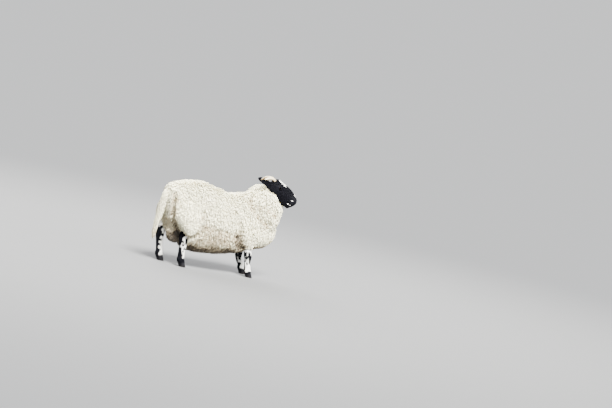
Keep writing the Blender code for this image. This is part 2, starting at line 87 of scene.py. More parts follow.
def bell(value: Rows, centre: float, spread: float) -> Rows:
    """A bump of height one: exp(-((value - centre) / spread)^2)."""
    return np.exp(-(((value - centre) / spread) ** 2))


def hermite(knots: Rows, values: Rows, at: Rows) -> Rows:
    """Values read at the places `at`, by a cubic that passes through every knot with an even slope.

    Args:
        knots: Places of the known rows, rising.
        values: One row of values per knot.
        at: Places to read.

    Returns:
        One row per place.
    """
    slopes = np.gradient(values, knots, axis=0)
    low = np.clip(np.searchsorted(knots, at, side="right") - 1, 0, len(knots) - 2)
    span = (knots[low + 1] - knots[low])[:, None]
    t = (at - knots[low])[:, None] / span
    return (
        (2 * t**3 - 3 * t**2 + 1) * values[low]
        + (t**3 - 2 * t**2 + t) * span * slopes[low]
        + (3 * t**2 - 2 * t**3) * values[low + 1]
        + (t**3 - t**2) * span * slopes[low + 1]
    )


def spaced(low: float, high: float, count: int, dense: Sequence[tuple[float, float, float]] = ()) -> Rows:
    """Places from low to high, closer together near some of them.

    A density of 1 plus a bell for each centre is summed along the span, and the sum is read backwards.

    Args:
        low: First place.
        high: Last place.
        count: How many places.
        dense: Centre, spread and gain of each closer stretch.

    Returns:
        The places, rising.
    """
    fine = np.linspace(low, high, 4001)
    density = np.ones_like(fine)
    for centre, spread, gain in dense:
        density += gain * bell(fine, centre, spread)
    run = np.cumsum(density)
    return np.interp(np.linspace(run[0], run[-1], count), run, fine)


def ripple(points: Rows, length: float, seed: int) -> Rows:
    """A soft random value from -1 to 1 over space: five sine waves of turned directions, added.

    Args:
        points: Places, as rows of three.
        length: Length of the waves.
        seed: Which set of waves.

    Returns:
        One value per place.
    """
    rng = np.random.default_rng(seed)
    ways = unit(rng.normal(size=(5, 3))) * (2 * math.pi / length) * rng.uniform(0.7, 1.4, (5, 1))
    phase = rng.uniform(0, 2 * math.pi, 5)
    return np.sin(points @ ways.T + phase).sum(axis=1) / 3.0


def nearest(points: Rows, targets: Rows, block: int = 2048) -> Rows:
    """Index of the target nearest each point: the least of |t|^2 - 2 p.t, a block of points at a time."""
    points = np.asarray(points, np.float32)
    targets = np.asarray(targets, np.float32)
    square = (targets**2).sum(axis=1)
    starts = range(0, len(points), block)
    found = [np.argmin(square - 2 * points[s : s + block] @ targets.T, axis=1) for s in starts]
    return np.concatenate(found)


def flattened(vectors: Rows, normals: Rows) -> Rows:
    """Vectors laid into the planes square to the normals, at length one."""
    return unit(vectors - normals * (vectors * normals).sum(axis=-1, keepdims=True))


def on_side(place: Sequence[float], side: str) -> Rows:
    """A place or direction given for the left side, carried to the named side."""
    return np.array(place, float) * np.array([1.0, SIDES[side], 1.0])


def to_left(points: Rows) -> Rows:
    """Points with those of the right side carried over to the left."""
    return points * np.array([1.0, 0.0, 1.0]) + np.abs(points) * np.array([0.0, 1.0, 0.0])


def turn_about(axis: int, angle: float) -> Rows:
    """A turn about X (0), Y (1) or Z (2), as a matrix."""
    matrix = np.eye(3)
    first, second = (axis + 1) % 3, (axis + 2) % 3
    matrix[first, first] = matrix[second, second] = math.cos(angle)
    matrix[second, first] = math.sin(angle)
    matrix[first, second] = -matrix[second, first]
    return matrix


# --- closed surfaces ---


@dataclass(frozen=True)
class Tube:
    """A rounded profile carried along a path.

    A station holds a centre, a half width, and a reach to either side of the centre. Between stations the
    numbers follow an even cubic. The profile is a superellipse whose `power` is 2 for an ellipse, and the
    ends close as quarter circles of the lengths in `domes`.
    """

    stations: Sequence[Sequence[float]]
    reference: Sequence[float]
    domes: tuple[float, float] = (0.0, 0.0)
    power: float = 2.0
    dome_spread: float = 0.35  # how far the closer rings of a dome reach, as a share of its length
    dome_gain: float = 9.0

    def table(self) -> tuple[Rows, Rows]:
        """The stations as an array, and the running length at each."""
        rows = np.array(self.stations, float)
        steps = np.linalg.norm(np.diff(rows[:, :3], axis=0), axis=1)
        return rows, np.concatenate([[0.0], np.cumsum(steps)])

    def frames(self, at: Rows) -> tuple[Rows, Rows, Rows]:
        """Interpolated stations and the two directions of the profile at places along the path."""
        stations, knots = self.table()
        rows = hermite(knots, stations, at)
        tangent = unit(np.gradient(rows[:, :3], at, axis=0))
        across = unit(np.cross(np.array(self.reference, float), tangent))
        return rows, across, np.cross(tangent, across)

    def fullness(self, at: Rows) -> Rows:
        """How full the profile is at each place: a quarter circle over each dome, one between them."""
        length = self.table()[1][-1]
        full = np.ones_like(at)
        for dome, run in ((self.domes[0], at), (self.domes[1], length - at)):
            if dome:
                full = np.minimum(full, np.sqrt(np.clip(1 - (1 - run / dome).clip(0) ** 2, 0, 1)))
        return full

    def rings(self, count: int, dense: Sequence[tuple[float, float, float]] = ()) -> Rows:
        """Places of rings along the path, closer in the domes and wherever `dense` asks."""
        length = self.table()[1][-1]
        domed = [(end, dome) for end, dome in zip((0.0, length), self.domes) if dome]
        ends = [(end, dome * self.dome_spread, self.dome_gain) for end, dome in domed]
        at = spaced(0.0, length, count + 2, [*dense, *ends])
        return at[1 if self.domes[0] else 0 : -1 if self.domes[1] else None]

    def grid(self, at: Rows, angle: Rows) -> tuple[Rows, Rows]:
        """Points of the surface over places and angles, and the two ends of the path.

        Each point is centre + across * width * c + upward * reach * s, where c and s are the cosine and
        sine of the angle raised to 2 / power with their sign kept.
        """
        rows, across, upward = self.frames(at)
        full = self.fullness(at)[:, None]
        c = np.sign(np.cos(angle)) * np.abs(np.cos(angle)) ** (2 / self.power)
        s = np.sign(np.sin(angle)) * np.abs(np.sin(angle)) ** (2 / self.power)
        reach = np.where(s > 0, rows[:, 4:5], rows[:, 5:6]) * s * full
        width = rows[:, 3:4] * c * full
        points = rows[:, None, :3] + across[:, None] * width[..., None] + upward[:, None] * reach[..., None]
        stations, knots = self.table()
        return points, hermite(knots, stations[:, :3], knots[[0, -1]])

    def locate(self, points: Rows) -> tuple[Rows, Rows, Rows, Rows]:
        """Share along the path, angle round it, reach (1 on the surface, less inside) and half width."""
        length = self.table()[1][-1]
        at = np.linspace(0, length, 90)
        rows, across, upward = self.frames(at)
        k = nearest(points, rows[:, :3])
        away = points - rows[k, :3]
        side = (away * across[k]).sum(axis=1)
        rise = (away * upward[k]).sum(axis=1)
        full = np.maximum(self.fullness(at)[k], 0.15)
        a = side / (rows[k, 3] * full)
        b = rise / (np.where(rise > 0, rows[k, 4], rows[k, 5]) * full)
        reach = (np.abs(a) ** self.power + np.abs(b) ** self.power) ** (1 / self.power)
        return at[k] / length, np.arctan2(b, a), reach, rows[k, 3]

    def unwrapped(self, name: str, points: Rows) -> Rows:
        """Places of points on the unwrap, in the rectangle of the part of that name."""
        return UNWRAP[name].at(*self.locate(points)[:2])


def even_angles(count: int) -> Rows:
    """Angles evenly round a circle."""
    return np.linspace(0, 2 * math.pi, count, endpoint=False)


def closed_grid(rings: Rows, ends: Rows | None = None) -> tuple[Rows, list[Rows]]:
    """A closed surface over rings of points: quads between rings, and a fan to a pole at either end.

    Args:
        rings: Points, as ring by place round the ring by coordinate.
        ends: The two poles; the middles of the end rings, if none are given.

    Returns:
        The points as rows, and faces as an array of quads and an array of triangles.
    """
    ends = rings[[0, -1]].mean(axis=1) if ends is None else ends
    count, round_ = rings.shape[:2]
    index = np.arange(count * round_).reshape(count, round_)
    after = np.roll(index, -1, axis=1)
    quads = beside(index[:-1], after[:-1], after[1:], index[1:]).reshape(-1, 4)
    first = np.full(round_, count * round_)
    fans = np.concatenate(
        [
            beside(after[0], index[0], first),
            beside(index[-1], after[-1], first + 1),
        ]
    )
    return np.concatenate([rings.reshape(-1, 3), ends]), [quads, fans]


def triangles_of(faces: Sequence[Rows]) -> Rows:
    """Every face as triangles."""
    parts = [f if f.shape[1] == 3 else np.concatenate([f[:, [0, 1, 2]], f[:, [0, 2, 3]]]) for f in faces]
    return np.concatenate(parts)


def vertex_normals(points: Rows, faces: Sequence[Rows]) -> Rows:
    """Normals at the points: the sum of the crossed edges of the triangles round each."""
    tri = triangles_of(faces)
    a, b, c = points[tri[:, 0]], points[tri[:, 1]], points[tri[:, 2]]
    crossed = np.cross(b - a, c - a)
    total = np.zeros_like(points)
    for corner in range(3):
        for axis in range(3):
            total[:, axis] += np.bincount(tri[:, corner], crossed[:, axis], len(points))
    return unit(total)


def looking_out(points: Rows, faces: Sequence[Rows]) -> list[Rows]:
    """The faces of a closed mesh, turned over where the volume inside them comes out below zero."""
    a, b, c = points[triangles_of(faces)].transpose(1, 0, 2)
    inward = np.einsum("ij,ij->i", a, np.cross(b, c)).sum() < 0
    return [f[:, ::-1] for f in faces] if inward else list(faces)


class Cover(Enum):
    """What grows on a stretch of skin."""

    WOOL = "wool"
    HAIR = "hair"


@dataclass(frozen=True)
class Patch:
    """A rectangle of the skin's unwrap, by its low corner and its size."""

    low: tuple[float, float]
    size: tuple[float, float]

    def at(self, share: Rows, angle: Rows) -> Rows:
        """Places on the unwrap: the angle runs across the rectangle, and the share along it."""
        across = np.mod(angle / (2 * math.pi) + 0.25, 1.0)
        spread = beside(across, np.clip(share, 0, 1))
        return np.array(self.low) + spread * np.array(self.size)


UNWRAP = {
    "trunk": Patch((0.01, 0.51), (0.59, 0.48)),
    "neck": Patch((0.62, 0.51), (0.37, 0.48)),
    "thigh_left": Patch((0.01, 0.27), (0.15, 0.22)),
    "thigh_right": Patch((0.17, 0.27), (0.15, 0.22)),
    "forearm_left": Patch((0.33, 0.27), (0.15, 0.22)),
    "forearm_right": Patch((0.49, 0.27), (0.15, 0.22)),
    "hind_shank_left": Patch((0.01, 0.02), (0.15, 0.23)),
    "hind_shank_right": Patch((0.17, 0.02), (0.15, 0.23)),
    "fore_shank_left": Patch((0.33, 0.02), (0.15, 0.23)),
    "fore_shank_right": Patch((0.49, 0.02), (0.15, 0.23)),
    "udder": Patch((0.66, 0.40), (0.33, 0.09)),
    "head": Patch((0.66, 0.20), (0.33, 0.18)),
    "tail": Patch((0.66, 0.01), (0.15, 0.17)),
    "ear_left": Patch((0.83, 0.01), (0.07, 0.17)),
    "ear_right": Patch((0.91, 0.01), (0.07, 0.17)),
}


@dataclass
class Roots:
    """Places where hair or wool grows, with the reach of the coat over each."""

    outer: Rows
    normal: Rows
    depth: Rows
    local: Rows
    unwrap: Rows

    @property
    def skin(self) -> Rows:
        """The roots' places on the skin."""
        return self.outer - self.normal * self.depth[:, None]

    def only(self, chosen: Rows) -> Roots:
        """The chosen roots."""
        return Roots(*(getattr(self, n)[chosen] for n in ("outer", "normal", "depth", "local", "unwrap")))


@dataclass
class Surface:
    """A closed surface at the tips of the coat, with the skin a given depth inside it.

    `local` holds each point in the part's own axes, with the lie of its hair along the first of them.
    """

    name: str
    cover: Cover
    outer: Rows
    faces: list[Rows]
    depth: Rows
    local: Rows
    place: Callable[[Rows], Rows]
    normal: Rows = field(init=False)

    def __post_init__(self) -> None:
        """Works out the normals."""
        self.normal = vertex_normals(self.outer, self.faces)

    @property
    def skin(self) -> Rows:
        """The skin's points: the coat's reach less its depth along the normal."""
        return self.outer - self.normal * self.depth[:, None]

    def scatter(self, rng: np.random.Generator, spacing: float, tries: float = 5.0) -> Roots:
        """Roots spread evenly over the surface.

        Triangles are drawn by area, a point is drawn in each, and one point is kept in each cube of a
        lattice whose edge is the spacing.

        Args:
            rng: Source of the draws.
            spacing: Edge of the lattice's cubes.
            tries: Draws per square of that edge.

        Returns:
            The roots.
        """
        tri = triangles_of(self.faces)
        corners = self.outer[tri]
        area = np.linalg.norm(np.cross(corners[:, 1] - corners[:, 0], corners[:, 2] - corners[:, 0]), axis=1)
        count = int(0.5 * area.sum() / spacing**2 * tries)
        run = np.cumsum(area)
        pick = np.minimum(np.searchsorted(run, rng.random(count) * run[-1]), len(tri) - 1)
        a, b = rng.random((2, count))
        over = a + b > 1
        a, b = np.where(over, 1 - a, a), np.where(over, 1 - b, b)
        share = beside(1 - a - b, a, b)[..., None]
        drawn = tri[pick]
        outer = (self.outer[drawn] * share).sum(axis=1)
        cell = np.floor(outer / spacing + 4096).astype(np.int64)
        key = (cell[:, 0] * 8192 + cell[:, 1]) * 8192 + cell[:, 2]
        kept = np.unique(key, return_index=True)[1]
        drawn, share, outer = drawn[kept], share[kept], outer[kept]
        normal = unit((self.normal[drawn] * share).sum(axis=1))
        depth = (self.depth[drawn] * share[..., 0]).sum(axis=1)
        local = (self.local[drawn] * share).sum(axis=1)
        return Roots(outer, normal, depth, local, self.place(outer))


# --- meshes ---


@dataclass
class Shell:
    """Arrays of one mesh: points, faces, marks, and each point's place along the lie of its hair.

    Marks are four numbers a point: black hair, brown staining with painted shade, place from root to tip,
    and a fourth that is a random value on a strand and the share of wool cover on the skin. On a horn the
    first three are the painted shade of its inner, downward side, the swelling of its rings and the place
    along it, and on a claw the third is the height.
    """

    points: Rows
    faces: list[Rows]
    mark: Rows
    lie: Rows
    unwrap: Rows | None = None

    @staticmethod
    def plain(points: Rows, faces: list[Rows]) -> Shell:
        """A shell with no marks, at the place in a mesh that the points are given for."""
        return Shell(points + ORIGIN, faces, np.zeros((len(points), 4)), np.zeros_like(points))


def joined(shells: Sequence[Shell]) -> Shell:
    """Several shells as one."""
    starts = np.cumsum([0] + [len(s.points) for s in shells])
    faces: dict[int, list[Rows]] = {}
    for start, shell in zip(starts, shells):
        for group in shell.faces:
            faces.setdefault(group.shape[1], []).append(group + start)
    with_unwrap = all(s.unwrap is not None for s in shells)
    return Shell(
        np.concatenate([s.points for s in shells]),
        [np.concatenate(groups) for groups in faces.values()],
        np.concatenate([s.mark for s in shells]),
        np.concatenate([s.lie for s in shells]),
        np.concatenate([s.unwrap for s in shells]) if with_unwrap else None,
    )


def mesh_object(name: str, shell: Shell, material: Material | None = None) -> Object:
    """Puts a shell's arrays into a mesh, moved to the part's origin, with its attributes.

    Args:
        name: The object's name.
        shell: The arrays.
        material: The finish, if any.

    Returns:
        The object, at the origin.
    """
    mesh = bpy.data.meshes.new(name)
    sizes = np.concatenate([np.full(len(f), f.shape[1], np.int32) for f in shell.faces])
    corners = np.concatenate([f.ravel() for f in shell.faces]).astype(np.int32)
    starts = np.concatenate([[0], np.cumsum(sizes)[:-1]]).astype(np.int32)
    mesh.vertices.add(len(shell.points))
    mesh.vertices.foreach_set("co", (shell.points - ORIGIN).astype(np.float32).ravel())
    mesh.loops.add(len(corners))
    mesh.loops.foreach_set("vertex_index", corners)
    mesh.polygons.add(len(sizes))
    mesh.polygons.foreach_set("loop_start", starts)
    mesh.update(calc_edges=True)
    marks = np.clip(shell.mark, 0, 1)
    for label, kind, key, rows in (
        ("mark", "FLOAT_COLOR", "color", marks),
        ("lie", "FLOAT_VECTOR", "vector", shell.lie),
    ):
        mesh.attributes.new(label, kind, "POINT").data.foreach_set(key, rows.astype(np.float32).ravel())
    if shell.unwrap is not None:
        layer = mesh.uv_layers.new(name="OFBake")
        layer.uv.foreach_set("vector", shell.unwrap[corners].astype(np.float32).ravel())
    mesh.shade_smooth()
    obj = bpy.data.objects.new(name, mesh)
    bpy.context.scene.collection.objects.link(obj)
    if material:
        mesh.materials.append(material)
    return obj


def report(obj: Object) -> int:
    """Logs a finished piece with its triangles, and gives back how many they are."""
    obj.data.calc_loop_triangles()
    count = len(obj.data.loop_triangles)
    log.info("%s: %d triangles", obj.name, count)
    return count


# --- strands ---


STRAND_SIDES = 3
STRAND_LIE = 0.004  # how far apart a strand's sides lie in the finish's own measure
STRAND_PATCH = 0.003  # edge of a strand's patch on the unwrap


def strand_points(places: int) -> int:
    """How many points one strand has: a ring at every place but the tip, and the tip."""
    return (places - 1) * STRAND_SIDES + 1


def strand_shell(
    paths: Rows, half_width: Rows, flatness: float, outward: Rows, mark: Rows, unwrap: Rows
) -> Shell:
    """Tapered closed strands, each a small profile carried along its own path to a point.

    Every ring lies at path + across * w * cos + outward * w * flatness * sin. The last point of a path is
    the tip, where the sides meet.

    Args:
        paths: Strand by place along it by coordinate.
        half_width: Half width at every place but the tip.
        flatness: Thickness as a share of the width.
        outward: Which way a strand's broad face looks, one direction a strand.
        mark: Black, brown staining with painted shade, and random value of each strand.
        unwrap: Place of each root on the unwrap.

    Returns:
        All strands as one shell.
    """
    count, places = paths.shape[:2]
    each = strand_points(places)
    tangent = unit(np.gradient(paths, axis=1))
    across = unit(np.cross(outward[:, None], tangent))
    upward = np.cross(tangent, across)
    angle = math.pi / 2 + even_angles(STRAND_SIDES)
    w = half_width[:, :, None, None]
    ring = (
        paths[:, :-1, None]
        + across[:, :-1, None] * w * np.cos(angle)[:, None]
        + upward[:, :-1, None] * w * flatness * np.sin(angle)[:, None]
    )
    points = np.concatenate([ring.reshape(count, -1, 3), paths[:, -1:]], axis=1)
    index = np.arange(each - 1).reshape(places - 1, STRAND_SIDES)
    after = np.roll(index, -1, axis=1)
    low_left, low_right, high_right, high_left = index[:-1], after[:-1], after[1:], index[1:]
    pattern = np.concatenate(
        [
            beside(low_left, low_right, high_right).reshape(-1, 3),
            beside(low_left, high_right, high_left).reshape(-1, 3),
            beside(index[-1], after[-1], np.full(STRAND_SIDES, each - 1)),
            np.array([[0, 2, 1]]),
        ]
    )
    faces = (pattern[None] + (np.arange(count) * each)[:, None, None]).reshape(-1, 3)

    def round_rings(values: Rows, tip: float) -> Rows:
        """One value for each side of a ring, on every ring, with the tip's own at the end."""
        return np.append(np.tile(values, places - 1), tip)

    share = np.append(np.repeat(np.linspace(0, 1, places)[:-1], STRAND_SIDES), 1.0)
    turn = round_rings(np.arange(STRAND_SIDES) / (STRAND_SIDES - 1), 0.5)
    aside, above = (round_rings(f(angle), 0.0) * STRAND_LIE for f in (np.cos, np.sin))
    long = np.linalg.norm(np.diff(paths, axis=1), axis=2).sum(axis=1)
    start = mark[:, 2:3] * 7.0
    lie = beside(share * long[:, None] + start, aside + start, above - start)
    marks = np.empty((count, each, 4))
    marks[..., [0, 1, 3]] = mark[:, None]
    marks[..., 2] = share
    patch = unwrap[:, None] + STRAND_PATCH * beside(turn - 0.5, share - 0.5)
    rows = (a.reshape(-1, a.shape[-1]) for a in (marks, lie, patch))
    return Shell(points.reshape(-1, 3), [faces], *rows)


# --- markings ---


def near_segment(points: Rows, start: Sequence[float], end: Sequence[float], radii: Sequence[float]) -> Rows:
    """Distance from a segment, with each axis measured in its own radius."""
    scale = 1 / np.array(radii, float)
    a, b, p = np.array(start) * scale, np.array(end) * scale, points * scale
    along = b - a
    t = np.clip(((p - a) @ along) / max(along @ along, 1e-9), 0, 1)
    return np.linalg.norm(p - a - t[:, None] * along, axis=1)


@dataclass(frozen=True)
class Fold:
    """A line along which the fleece draws in and its wool gets painted shade, given on the right side.

    The left side has the same line, further back by `shift` where it follows the far thigh.
    """

    line: tuple
    depth: float
    width: float
    shade: float
    shift: float = 0.0

    def closeness(self, points: Rows, spread: float = 1.0) -> Rows:
        """1 on the line, falling off as exp(-(distance / width)^2)."""
        left = points[:, 1] > 0
        there = beside(points[:, 0] + self.shift * left, -np.abs(points[:, 1]), points[:, 2])
        wide = [self.width * spread] * 3
        pairs = zip(self.line[:-1], self.line[1:])
        return np.exp(-(np.min([near_segment(there, a, b, wide) for a, b in pairs], axis=0) ** 2))


FOLDS = {
    "thigh_front": Fold(
        (
            (-0.217, -0.182, 0.449), (-0.200, -0.184, 0.399), (-0.190, -0.183, 0.357),
            (-0.196, -0.177, 0.306), (-0.222, -0.166, 0.267), (-0.253, -0.151, 0.241),
        ),
        depth=0.011, width=0.018, shade=0.34, shift=0.050,
    ),
    "thigh_rear": Fold(
        (
            (-0.456, -0.102, 0.540), (-0.456, -0.109, 0.502), (-0.453, -0.107, 0.449),
            (-0.443, -0.103, 0.398), (-0.424, -0.099, 0.347), (-0.381, -0.075, 0.289),
        ),
        depth=0.018, width=0.019, shade=1.15, shift=0.060,
    ),
    "flank": Fold(
        (
            (-0.182, -0.183, 0.345), (-0.113, -0.183, 0.330), (-0.031, -0.183, 0.326),
            (0.044, -0.178, 0.317), (0.117, -0.169, 0.304),
        ),
        depth=0.012, width=0.022, shade=0.74,
    ),
    "elbow_upper": Fold(
        ((0.113, -0.174, 0.423), (0.124, -0.175, 0.363), (0.136, -0.169, 0.311)),
        depth=0.010, width=0.018, shade=0.30,
    ),
    "elbow": Fold(
        ((0.140, -0.168, 0.300), (0.165, -0.149, 0.260), (0.206, -0.115, 0.217)),
        depth=0.014, width=0.029, shade=1.85,
    ),
    "throat": Fold(
        ((0.424, -0.160, 0.640), (0.448, -0.147, 0.622), (0.470, -0.126, 0.602)),
        depth=0.026, width=0.028, shade=0.0,
    ),
    "neck_lower": Fold(
        (
            (0.195, -0.077, 0.622), (0.207, -0.125, 0.571), (0.237, -0.146, 0.526), (0.300, -0.164, 0.478),
            (0.373, -0.161, 0.437),
        ),
        depth=0.013, width=0.024, shade=0.50,
    ),
    "neck_upper": Fold(
        ((0.251, -0.138, 0.567), (0.298, -0.157, 0.578), (0.343, -0.171, 0.566), (0.403, -0.171, 0.532)),
        depth=0.010, width=0.018, shade=0.50,
    ),
}


# Blotches of the legs: height, place along the leg's front-to-back line, half height and half width.
SPOTS = {
    "hind_shank_right": (
        (0.194, 0.001, 0.007, 0.007), (0.172, 0.003, 0.007, 0.008), (0.208, 0.024, 0.020, 0.006),
        (0.182, 0.018, 0.004, 0.006), (0.124, 0.012, 0.006, 0.005), (0.146, 0.018, 0.006, 0.005),
    ),
    "hind_shank_left": (
        (0.163, 0.010, 0.009, 0.007), (0.125, 0.007, 0.008, 0.006), (0.084, 0.008, 0.005, 0.005),
        # The last blotch of the far hind leg, just under the wool's edge, is painted shade.
        (0.201, 0.022, 0.009, 0.008),
    ),
    "fore_shank_right": (
        (0.182, -0.020, 0.016, 0.012), (0.170, 0.010, 0.005, 0.016), (0.151, -0.005, 0.009, 0.009),
        (0.143, 0.024, 0.027, 0.009), (0.190, 0.014, 0.009, 0.006), (0.112, 0.001, 0.009, 0.005),
        (0.075, -0.025, 0.034, 0.008), (0.128, -0.018, 0.008, 0.007),
    ),
    "fore_shank_left": (
        (0.200, -0.006, 0.009, 0.020), (0.174, -0.012, 0.012, 0.014), (0.184, 0.014, 0.010, 0.008),
        (0.150, -0.018, 0.012, 0.012), (0.138, 0.006, 0.006, 0.022), (0.112, -0.018, 0.016, 0.010),
        (0.120, 0.010, 0.008, 0.008), (0.158, 0.012, 0.007, 0.009), (0.084, 0.000, 0.008, 0.008),
        (0.066, -0.016, 0.022, 0.009),
    ),
}


@dataclass(frozen=True)
class Markings:
    """Where the hair is black, where it is white, and where the wool carries brown staining and painted
    shade.

    Black is 1 and white is 0. A value near 0.5 comes out mottled, as the finish breaks it up by a noise.
    """

    # White blaze of the forehead, a little to the right: two ends and radii, in the head's axes.
    blaze: tuple = ((0.050, -0.010, 0.060), (0.100, -0.013, 0.056), (0.012, 0.023, 0.026))
    # Pale marks beside nose and mouth, given on the left side: two ends, radii, and how white.
    # The first, on top of the nose, is a painted highlight; the two at the mouth are pale lip edges, partly
    # painted highlight.
    face_marks: tuple = (
        ((0.207, 0.007, 0.039), (0.216, 0.012, 0.035), (0.006, 0.007, 0.005), 0.58),
        ((0.213, 0.037, -0.010), (0.221, 0.036, -0.004), (0.005, 0.010, 0.0024), 0.51),
        ((0.207, 0.034, -0.046), (0.228, 0.027, -0.043), (0.007, 0.012, 0.0034), 0.52),
    )
    spots: dict[str, tuple] = field(default_factory=lambda: SPOTS)

    def face(self, local: Rows) -> Rows:
        """Black over the face, less the marks."""
        mirrored = to_left(local)
        ragged = 0.20 * ripple(local, 0.034, 51) + 0.10 * ripple(local, 0.014, 52)
        black = eased(0.90, 1.10, near_segment(local, *self.blaze) + ragged)
        # Whitening for the lip edges and a painted highlight on the nose.
        for start, end, radii, white in self.face_marks:
            black -= white * eased(1.25, 0.75, near_segment(mirrored, start, end, radii))
        return np.clip(black, 0, 1)

    def leg(self, name: str, points: Rows, centre: Rows) -> Rows:
        """Black over a lower leg: foot, joint, a strip behind, and spots.

        Args:
            name: The leg's name in `spots`.
            points: Places on the leg.
            centre: The middle of the leg at each point's height.

        Returns:
            How black each point is; a little over 1 where a spot is sure to come out whole.
        """
        z = points[:, 2]
        forward = (points[:, 0] - centre[:, 0]) * 0.866 - (points[:, 1] - centre[:, 1]) * 0.5
        wander = 0.007 * ripple(points, 0.045, 31)
        if name == "hind_shank_right":
            # Black down to a slanting line by the hock, then white, with a once broken black strip behind.
            top = eased(0.226, 0.236, z - 0.8 * forward + wander)
            reach = np.interp(z, (0.110, 0.146, 0.158, 0.215), (0.011, 0.004, -0.011, -0.008))
            gap = 0.85 * bell(z + 0.4 * forward, 0.152, 0.0035)
            strip = eased(reach, reach - 0.005, forward + wander) * (1 - gap)
            foot = eased(0.076, 0.068, z + wander)
        elif name == "hind_shank_left":
            # White above, and lower down a white front with black behind it.
            low = eased(0.270, 0.260, z + wander)
            top = low * eased(0.150, 0.160, z + wander) * eased(0.012, 0.006, forward + wander)
            strip = low * eased(0.003, -0.002, forward + wander)
            foot = eased(0.058, 0.050, z + wander)
        else:
            # Mottled about the knee; the left leg has a black strip behind.
            far = name.endswith("left")
            top = (0.58 if far else 0.50) * bell(z, 0.165, 0.060)
            strip = eased(-0.013, -0.018, forward + wander) * (far * eased(0.225, 0.205, z))
            foot = eased(0.054, 0.045, z + 1.2 * wander)
        black = np.maximum.reduce([top, strip, foot])
        for height, place, tall, wide in self.spots[name]:
            off = np.hypot((z - height + 0.4 * wander) / tall, (forward - place) / wide)
            black = np.maximum(black, 1.15 * eased(1.50, 1.15, off))
        return np.clip(black, 0, 1.15)

    def stain_and_shade(self, points: Rows, normal: Rows) -> Rows:
        """Brown staining and painted shade of the wool, the most in folds, belly, inner thighs, rear and
        chest.
        """
        x, y, z = points.T
        broken = 0.72 + 0.42 * ripple(points, 0.045, 41)
        # Painted shade along the folds, broken up by a ripple.
        folds = broken * np.max([fold.shade * fold.closeness(points, 1.2) for fold in FOLDS.values()], axis=0)
        # Painted shade in a strip under the flank, where the fleece above overhangs the belly.
        flank_height = np.interp(x, (-0.182, -0.031, 0.117), (0.345, 0.326, 0.304))
        overhang_shade = 0.42 * eased(0.012, -0.030, z - flank_height) * eased(-0.25, -0.20, x) * eased(0.20, 0.13, x)
        # Painted shade on downward faces low on the body, and dirt with painted shade along the belly's
        # lowest edge.
        under = np.maximum(
            eased(-0.35, -0.80, normal[:, 2]) * eased(0.30, 0.20, z),
            eased(0.176, 0.134, z + 0.010 * ripple(points, 0.05, 43)) * eased(0.34, 0.24, x),
        )
        # Painted shade between the thighs and round the udder.
        inside = eased(0.088, 0.062, np.abs(y)) * eased(0.40, 0.33, z) * eased(-0.19, -0.24, x)
        # Behind this edge the wool between the thighs gets only light painted shade.
        edge = np.interp(z, (0.21, 0.28), (-0.400, -0.352))
        inside *= 1 - 0.80 * eased(edge, edge - 0.020, x) * eased(0.235, 0.265, z)
        # Stain with painted shade on the lower rear and on the chest.
        rear = 0.16 * eased(-0.36, -0.44, x) * eased(0.60, 0.40, z)
        chest = 0.22 * bell(x, 0.47, 0.06) * bell(z, 0.30, 0.05)
        return np.clip(np.maximum.reduce([folds, overhang_shade, 1.35 * under, 1.8 * inside, rear, chest]), 0, 1.6)


MARKINGS = Markings()


# --- body form ---

RUMP_TOP, BACK_TOP, WITHERS_TOP, BELLY = 0.682, 0.618, 0.636, 0.113

# x, height of the widest level, half width, reach up and reach down.
TRUNK = (
    (-0.472, 0.430, 0.094, 0.130, 0.115),
    (-0.447, 0.435, 0.122, 0.163, 0.135),
    (-0.400, 0.442, 0.150, RUMP_TOP - 0.489, 0.160),
    (-0.340, 0.437, 0.170, RUMP_TOP - 0.457, 0.172),
    (-0.270, 0.420, 0.180, RUMP_TOP - 0.424, 0.205),
    (-0.220, 0.408, 0.184, RUMP_TOP - 0.416, 0.385 - BELLY),
    (-0.160, 0.397, 0.186, RUMP_TOP - 0.421, 0.397 - BELLY),
    (-0.080, 0.386, 0.187, BACK_TOP - 0.360, 0.385 - BELLY),
    (0.020, 0.378, 0.184, BACK_TOP - 0.377, 0.366 - BELLY),
    (0.100, 0.382, 0.178, WITHERS_TOP - 0.393, 0.352 - BELLY),
    (0.180, 0.390, 0.171, WITHERS_TOP - 0.385, 0.342 - BELLY),
    (0.260, 0.395, 0.163, WITHERS_TOP - 0.390, 0.322 - BELLY),
    (0.340, 0.400, 0.150, 0.215, 0.187),
    (0.420, 0.405, 0.124, 0.190, 0.165),
    (0.472, 0.410, 0.090, 0.160, 0.120),
    (0.500, 0.415, 0.055, 0.110, 0.072),
)
NECK = (
    (0.240, 0.000, 0.400, 0.155, 0.150, 0.200),
    (0.300, -0.012, 0.500, 0.148, 0.165, 0.208),
    (0.346, -0.036, 0.590, 0.130, 0.160, 0.176),
    (0.378, -0.058, 0.660, 0.108, 0.142, 0.134),
    (0.394, -0.070, 0.705, 0.084, 0.108, 0.098),
)
TAIL = (
    (-0.425, 0.000, 0.572, 0.034, 0.024, 0.024),
    (-0.462, 0.003, 0.545, 0.040, 0.028, 0.026),
    (-0.480, 0.010, 0.460, 0.042, 0.030, 0.027),
    (-0.484, 0.024, 0.360, 0.036, 0.026, 0.024),
    (-0.488, 0.038, 0.270, 0.026, 0.019, 0.019),
    (-0.486, 0.045, 0.205, 0.020, 0.015, 0.016),
    (-0.483, 0.047, 0.163, 0.013, 0.010, 0.011),
)
# The woolly bag between the thighs, from inside the belly down: centre, half width, reach forwards and back.
UDDER = (
    (-0.325, 0.0, 0.340, 0.052, 0.100, 0.085),
    (-0.325, 0.0, 0.270, 0.062, 0.105, 0.088),
    (-0.322, 0.0, 0.215, 0.060, 0.100, 0.082),
    (-0.318, 0.0, 0.160, 0.042, 0.070, 0.056),
)

